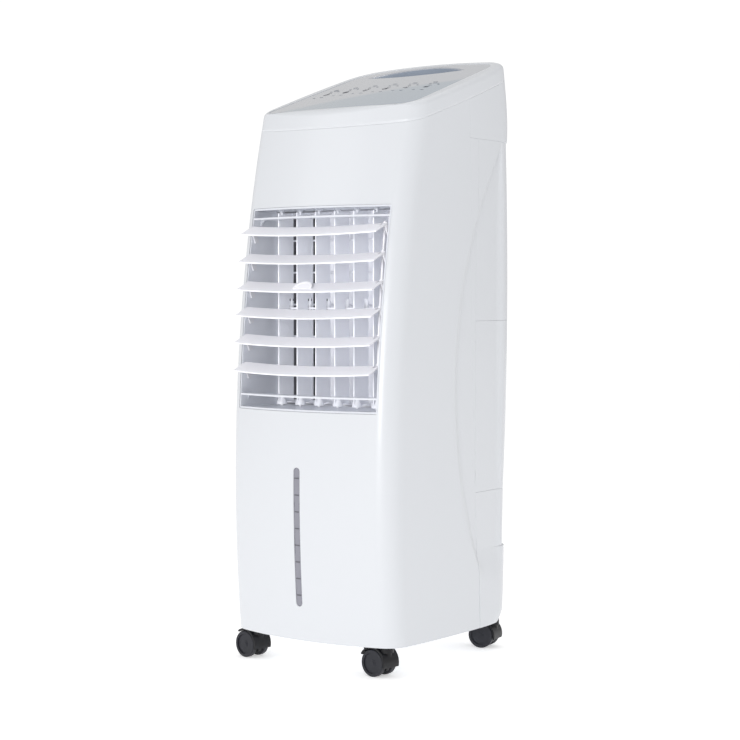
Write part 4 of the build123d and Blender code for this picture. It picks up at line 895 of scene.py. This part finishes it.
# Steps of the seat that holds the panel: way in past the panel's edge, depth under the top.
SEAT_STEPS = ((-1.4, 0.0), (-0.7, 0.08), (-0.3, 0.45), (-0.25, 1.0), (-0.25, 2.6), (3.0, 2.7), (3.0, 5.0))
SEAT_DEPTH = SEAT_STEPS[-1][1]


def rim_point(u, inset, depth):
    """Plan point and height on the top cover's side or edge, found by a few rounds."""
    z = RIM_START_Z
    for _ in range(RIM_ROUNDS):
        x, y = Plan(z, inset, band_fit(z)).point(u)
        z = top_z(x, y, depth)
    return x, y, z


def top_cover():
    """Rim ring of the top cover: skirt, rounded rim and the step that holds the panel."""
    hull = plan_hull("control_panel")
    spots = [part + k / count for part, count in enumerate(RIM_PARTS) for k in range(count)]
    spots.append(len(RIM_PARTS))
    spots += [-u for u in spots[-2:0:-1]]
    loops = []
    for u in spots:
        (x0, y0, _), (x1, y1, _) = rim_point(u, 0.0, RIM_INWARD), rim_point(u, RIM_INWARD, RIM_INWARD)
        away = math.hypot(x1 - x0, y1 - y0)
        d = ((x1 - x0) / away, (y1 - y0) / away)
        edge = reach_to(hull, (x0, y0), d)
        r = min(RIM_ROUND, RIM_SHARE * edge)
        side = [COVER_DEPTH + (r - COVER_DEPTH) * k / 5 for k in range(5)]
        loop = [rim_point(u, 0.0, depth) for depth in side]
        turns = [math.radians(15 * k) for k in range(7)]
        loop += [rim_point(u, r * (1 - math.cos(a)), r * (1 - math.sin(a))) for a in turns]
        for inward, depth in SEAT_STEPS:
            x, y = x0 + d[0] * (edge + inward), y0 + d[1] * (edge + inward)
            loop.append((x, y, top_z(x, y, depth)))
        loop += [rim_point(u, WALL, SEAT_DEPTH), rim_point(u, WALL, COVER_DEPTH)]
        loops.append([world(*p) for p in loop])
    verts = [p for loop in loops for p in loop]
    n, count = len(loops), len(loops[0])
    faces = []
    for i in range(n):
        j = (i + 1) % n
        for k in range(count):
            m = (k + 1) % count
            faces.append((i * count + k, j * count + k, j * count + m, i * count + m))
    obj = new_object("top_rim", verts, faces, WHITE, "housing")
    recalc(obj)
    finish_edges(obj, 0.0)
    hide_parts("top_cover")


WELL_TIP = (83.0, 102.0)
WELL_FRONT = 82.0
WELL_BACK = 128.0
WELL_WALL = 2.0
WELL_TOP = 2.5
WELL_FLOOR = 35.5
ARC_STEPS = 26


def lens(grow):
    """Outline of the handle hollow: two arcs between its tips."""
    tip, y = WELL_TIP[0] + grow, WELL_TIP[1]
    ring = []
    for middle, way in ((WELL_FRONT - grow, 1), (WELL_BACK + grow, -1)):
        cx, cy, r = circle_through((-tip, y), (0.0, middle), (tip, y))
        side = 1 if middle > cy else -1
        half = math.asin(tip / r)
        for k in range(ARC_STEPS):
            a = way * (-half + 2 * half * k / ARC_STEPS)
            ring.append((cx + r * math.sin(a), cy + side * r * math.cos(a)))
    return ring


def handle_well():
    """Finger hollow behind the keys, a closed cup under the panel's opening."""
    outer, inner = lens(WELL_WALL), lens(0.0)
    levels_down = ((outer, WELL_TOP), (outer, WELL_FLOOR + WELL_WALL), (inner, WELL_FLOOR), (inner, 22.0),
                   (inner, 10.0), (inner, WELL_TOP))
    n = len(outer)
    verts = [world(x, y, top_z(x, y, depth)) for ring, depth in levels_down for x, y in ring]
    faces = []
    for level in (0, 2, 3, 4):
        a, b = level * n, (level + 1) * n
        faces += [(a + k, a + (k + 1) % n, b + (k + 1) % n, b + k) for k in range(n)]
    faces += [(5 * n + k, 5 * n + (k + 1) % n, (k + 1) % n, k) for k in range(n)]
    faces += [tuple(range(n, 2 * n)), tuple(range(2 * n, 3 * n))]
    obj = new_object("handle_well", verts, faces, WELL, "housing")
    recalc(obj)
    finish_edges(obj, 0.3)


PANEL_SINK = 0.8
FILM_UNDER = 0.1
FILM_OVER = 0.12
KEYS = 6
KEY_STEP = 34.0
# Dashes round one key: x and y of the middle (x from the key), width, depth.
DASHES = ((-6.0, 27.0, 3.4, 1.5), (0.5, 28.5, 5.6, 1.5), (7.0, 26.5, 2.6, 1.5), (-3.0, 35.0, 7.0, 1.2),
          (12.0, 20.0, 3.0, 1.3), (-11.0, -6.0, 3.6, 1.3), (4.0, -8.0, 5.0, 1.3))
BOX_FACES = ((3, 2, 1, 0), (4, 5, 6, 7), (0, 1, 5, 4), (1, 2, 6, 5), (2, 3, 7, 6), (3, 0, 4, 7))


def printed_dashes():
    """Rows of short printed dashes round the touch keys, a thin film on the panel."""
    verts, faces = [], []
    for key in range(KEYS):
        middle = (key - (KEYS - 1) / 2) * KEY_STEP
        for dx, y, wide, deep in DASHES:
            x = middle + dx
            base = len(verts)
            for depth in (PANEL_SINK + FILM_UNDER, PANEL_SINK - FILM_OVER):
                for sx, sy in ((-1, -1), (1, -1), (1, 1), (-1, 1)):
                    px, py = x + sx * wide / 2, y + sy * deep / 2
                    verts.append(world(px, py, top_z(px, py, depth)))
            faces += [tuple(base + k for k in quad) for quad in BOX_FACES]
    obj = new_object("printed_dashes", verts, faces, PRINT, "housing")
    recalc(obj)


# ---- stage ------------------------------------------------------------------------------
FLOOR_HALF = 12.0
PAPER = (0.93, 0.93, 0.93)
PAPER_GLOW = 0.45
SKY_LIGHT = 0.62            # strength of the white surroundings as light
SKY_SEEN = 1.05             # strength of the white surroundings as background
AIM_Z = 0.42
# Name, place in metres, side of the square and power of each light.
LIGHTS = (
    ("key", (-1.6, -2.6, 1.9), 1.8, 8.0),
    ("front", (1.1, -3.0, 0.7), 0.9, 22.5),
    ("top", (0.0, 0.3, 2.8), 2.2, 11.0),
)
FILL_PLACE = (0.35, -2.3, 0.75)
FILL_AIM_Z = 0.48
FILL_SIZE = 1.0
FILL_POWER = 51.0
OUTLET_PIECES = ("louver_blade", "louver_link", "swing_fin", "fin_link", "outlet_guard", "blower_casing",
                 "blower_lid")
CAMERA_PLACE = (1.503, -2.007, 0.4946)      # from the body's middle, above the floor
CAMERA_TURN = 36.88
CAMERA_DIP = 2.34
CAMERA_LENS = 88.9
CAMERA_SENSOR = 36.0


def area_light(name, place, aim_z, size, power):
    """White square light that points at the body's middle line at a height."""
    data = bpy.data.lights.new(name, "AREA")
    data.shape = "RECTANGLE"
    data.size, data.size_y = size, size
    data.energy = power
    obj = bpy.data.objects.new(name, data)
    obj.location = place
    aim = Vector((MID_X, MID_Y, aim_z))
    obj.rotation_euler = (aim - Vector(place)).to_track_quat("-Z", "Y").to_euler()
    bpy.context.scene.collection.objects.link(obj)
    return obj


def outlet_fill():
    """Soft light that only reaches the pieces seen through the air outlet."""
    light = area_light("outlet_fill", FILL_PLACE, FILL_AIM_Z, FILL_SIZE, FILL_POWER)
    pieces = bpy.data.collections.new("outlet_pieces")
    for name, obj in frame["nodes"].items():
        if name.startswith(OUTLET_PIECES):
            pieces.objects.link(obj)
    light.light_linking.receiver_collection = pieces
    return light


def paper_floor():
    """Wide pale floor that glows a little, so that it meets the background."""
    half = FLOOR_HALF
    mesh = bpy.data.meshes.new("floor")
    corners = [(-half, -half, 0), (half, -half, 0), (half, half, 0), (-half, half, 0)]
    mesh.from_pydata(corners, [], [(0, 1, 2, 3)])
    floor = bpy.data.objects.new("floor", mesh)
    bpy.context.scene.collection.objects.link(floor)
    paper = material("floor_paper", PAPER, 0.8, spread=0.05, bump=0.01, specular=0.0)
    shader = paper.node_tree.nodes["Principled BSDF"]
    shader.inputs["Emission Color"].default_value = (1, 1, 1, 1)
    shader.inputs["Emission Strength"].default_value = PAPER_GLOW
    floor.data.materials.append(paper)
    return floor


def white_sky():
    """White surroundings, brighter to the camera than as a light."""
    sky = bpy.data.worlds.new("studio")
    sky.use_nodes = True
    nodes, links = sky.node_tree.nodes, sky.node_tree.links
    nodes["Background"].inputs["Color"].default_value = (1, 1, 1, 1)
    rays = nodes.new("ShaderNodeLightPath")
    level = nodes.new("ShaderNodeMapRange")
    level.inputs["To Min"].default_value = SKY_LIGHT
    level.inputs["To Max"].default_value = SKY_SEEN
    links.new(rays.outputs["Is Camera Ray"], level.inputs["Value"])
    links.new(level.outputs["Result"], nodes["Background"].inputs["Strength"])
    bpy.context.scene.world = sky


def studio():
    """Floor, lights and surroundings."""
    floor = paper_floor()
    lights = [area_light(name, place, AIM_Z, size, power) for name, place, size, power in LIGHTS]
    outlet_fill()
    white_sky()
    bpy.context.scene.view_settings.view_transform = "Standard"


def camera():
    """Camera at the photo's point of view."""
    data = bpy.data.cameras.new("camera")
    data.lens = CAMERA_LENS
    data.sensor_width = CAMERA_SENSOR
    cam = bpy.data.objects.new("camera", data)
    dx, dy, z = CAMERA_PLACE
    cam.location = (MID_X + dx, MID_Y + dy, z)
    cam.rotation_euler = (math.pi / 2 - math.radians(CAMERA_DIP), 0, math.radians(CAMERA_TURN))
    bpy.context.scene.collection.objects.link(cam)
    bpy.context.scene.camera = cam


# ---- build -------------------------------------------------------------------------------
dress_cad_nodes()
front_housing()
rear_housing()
rear_cover("upper_cover_shell", COVER_SPLIT_Z + SPLIT_GAP, BAND_Z - JOINT, 480.0, 17,
           "upper_filter_cover", "upper_cover")
rear_cover("lower_cover_shell", TANK_TOP_Z + SPLIT_GAP, COVER_SPLIT_Z - SPLIT_GAP, 250.0, 16,
           "lower_filter_cover", "lower_cover")
base_plate()
tank_face()
top_cover()
handle_well()
printed_dashes()
studio()
camera()

bpy.context.view_layer.update()
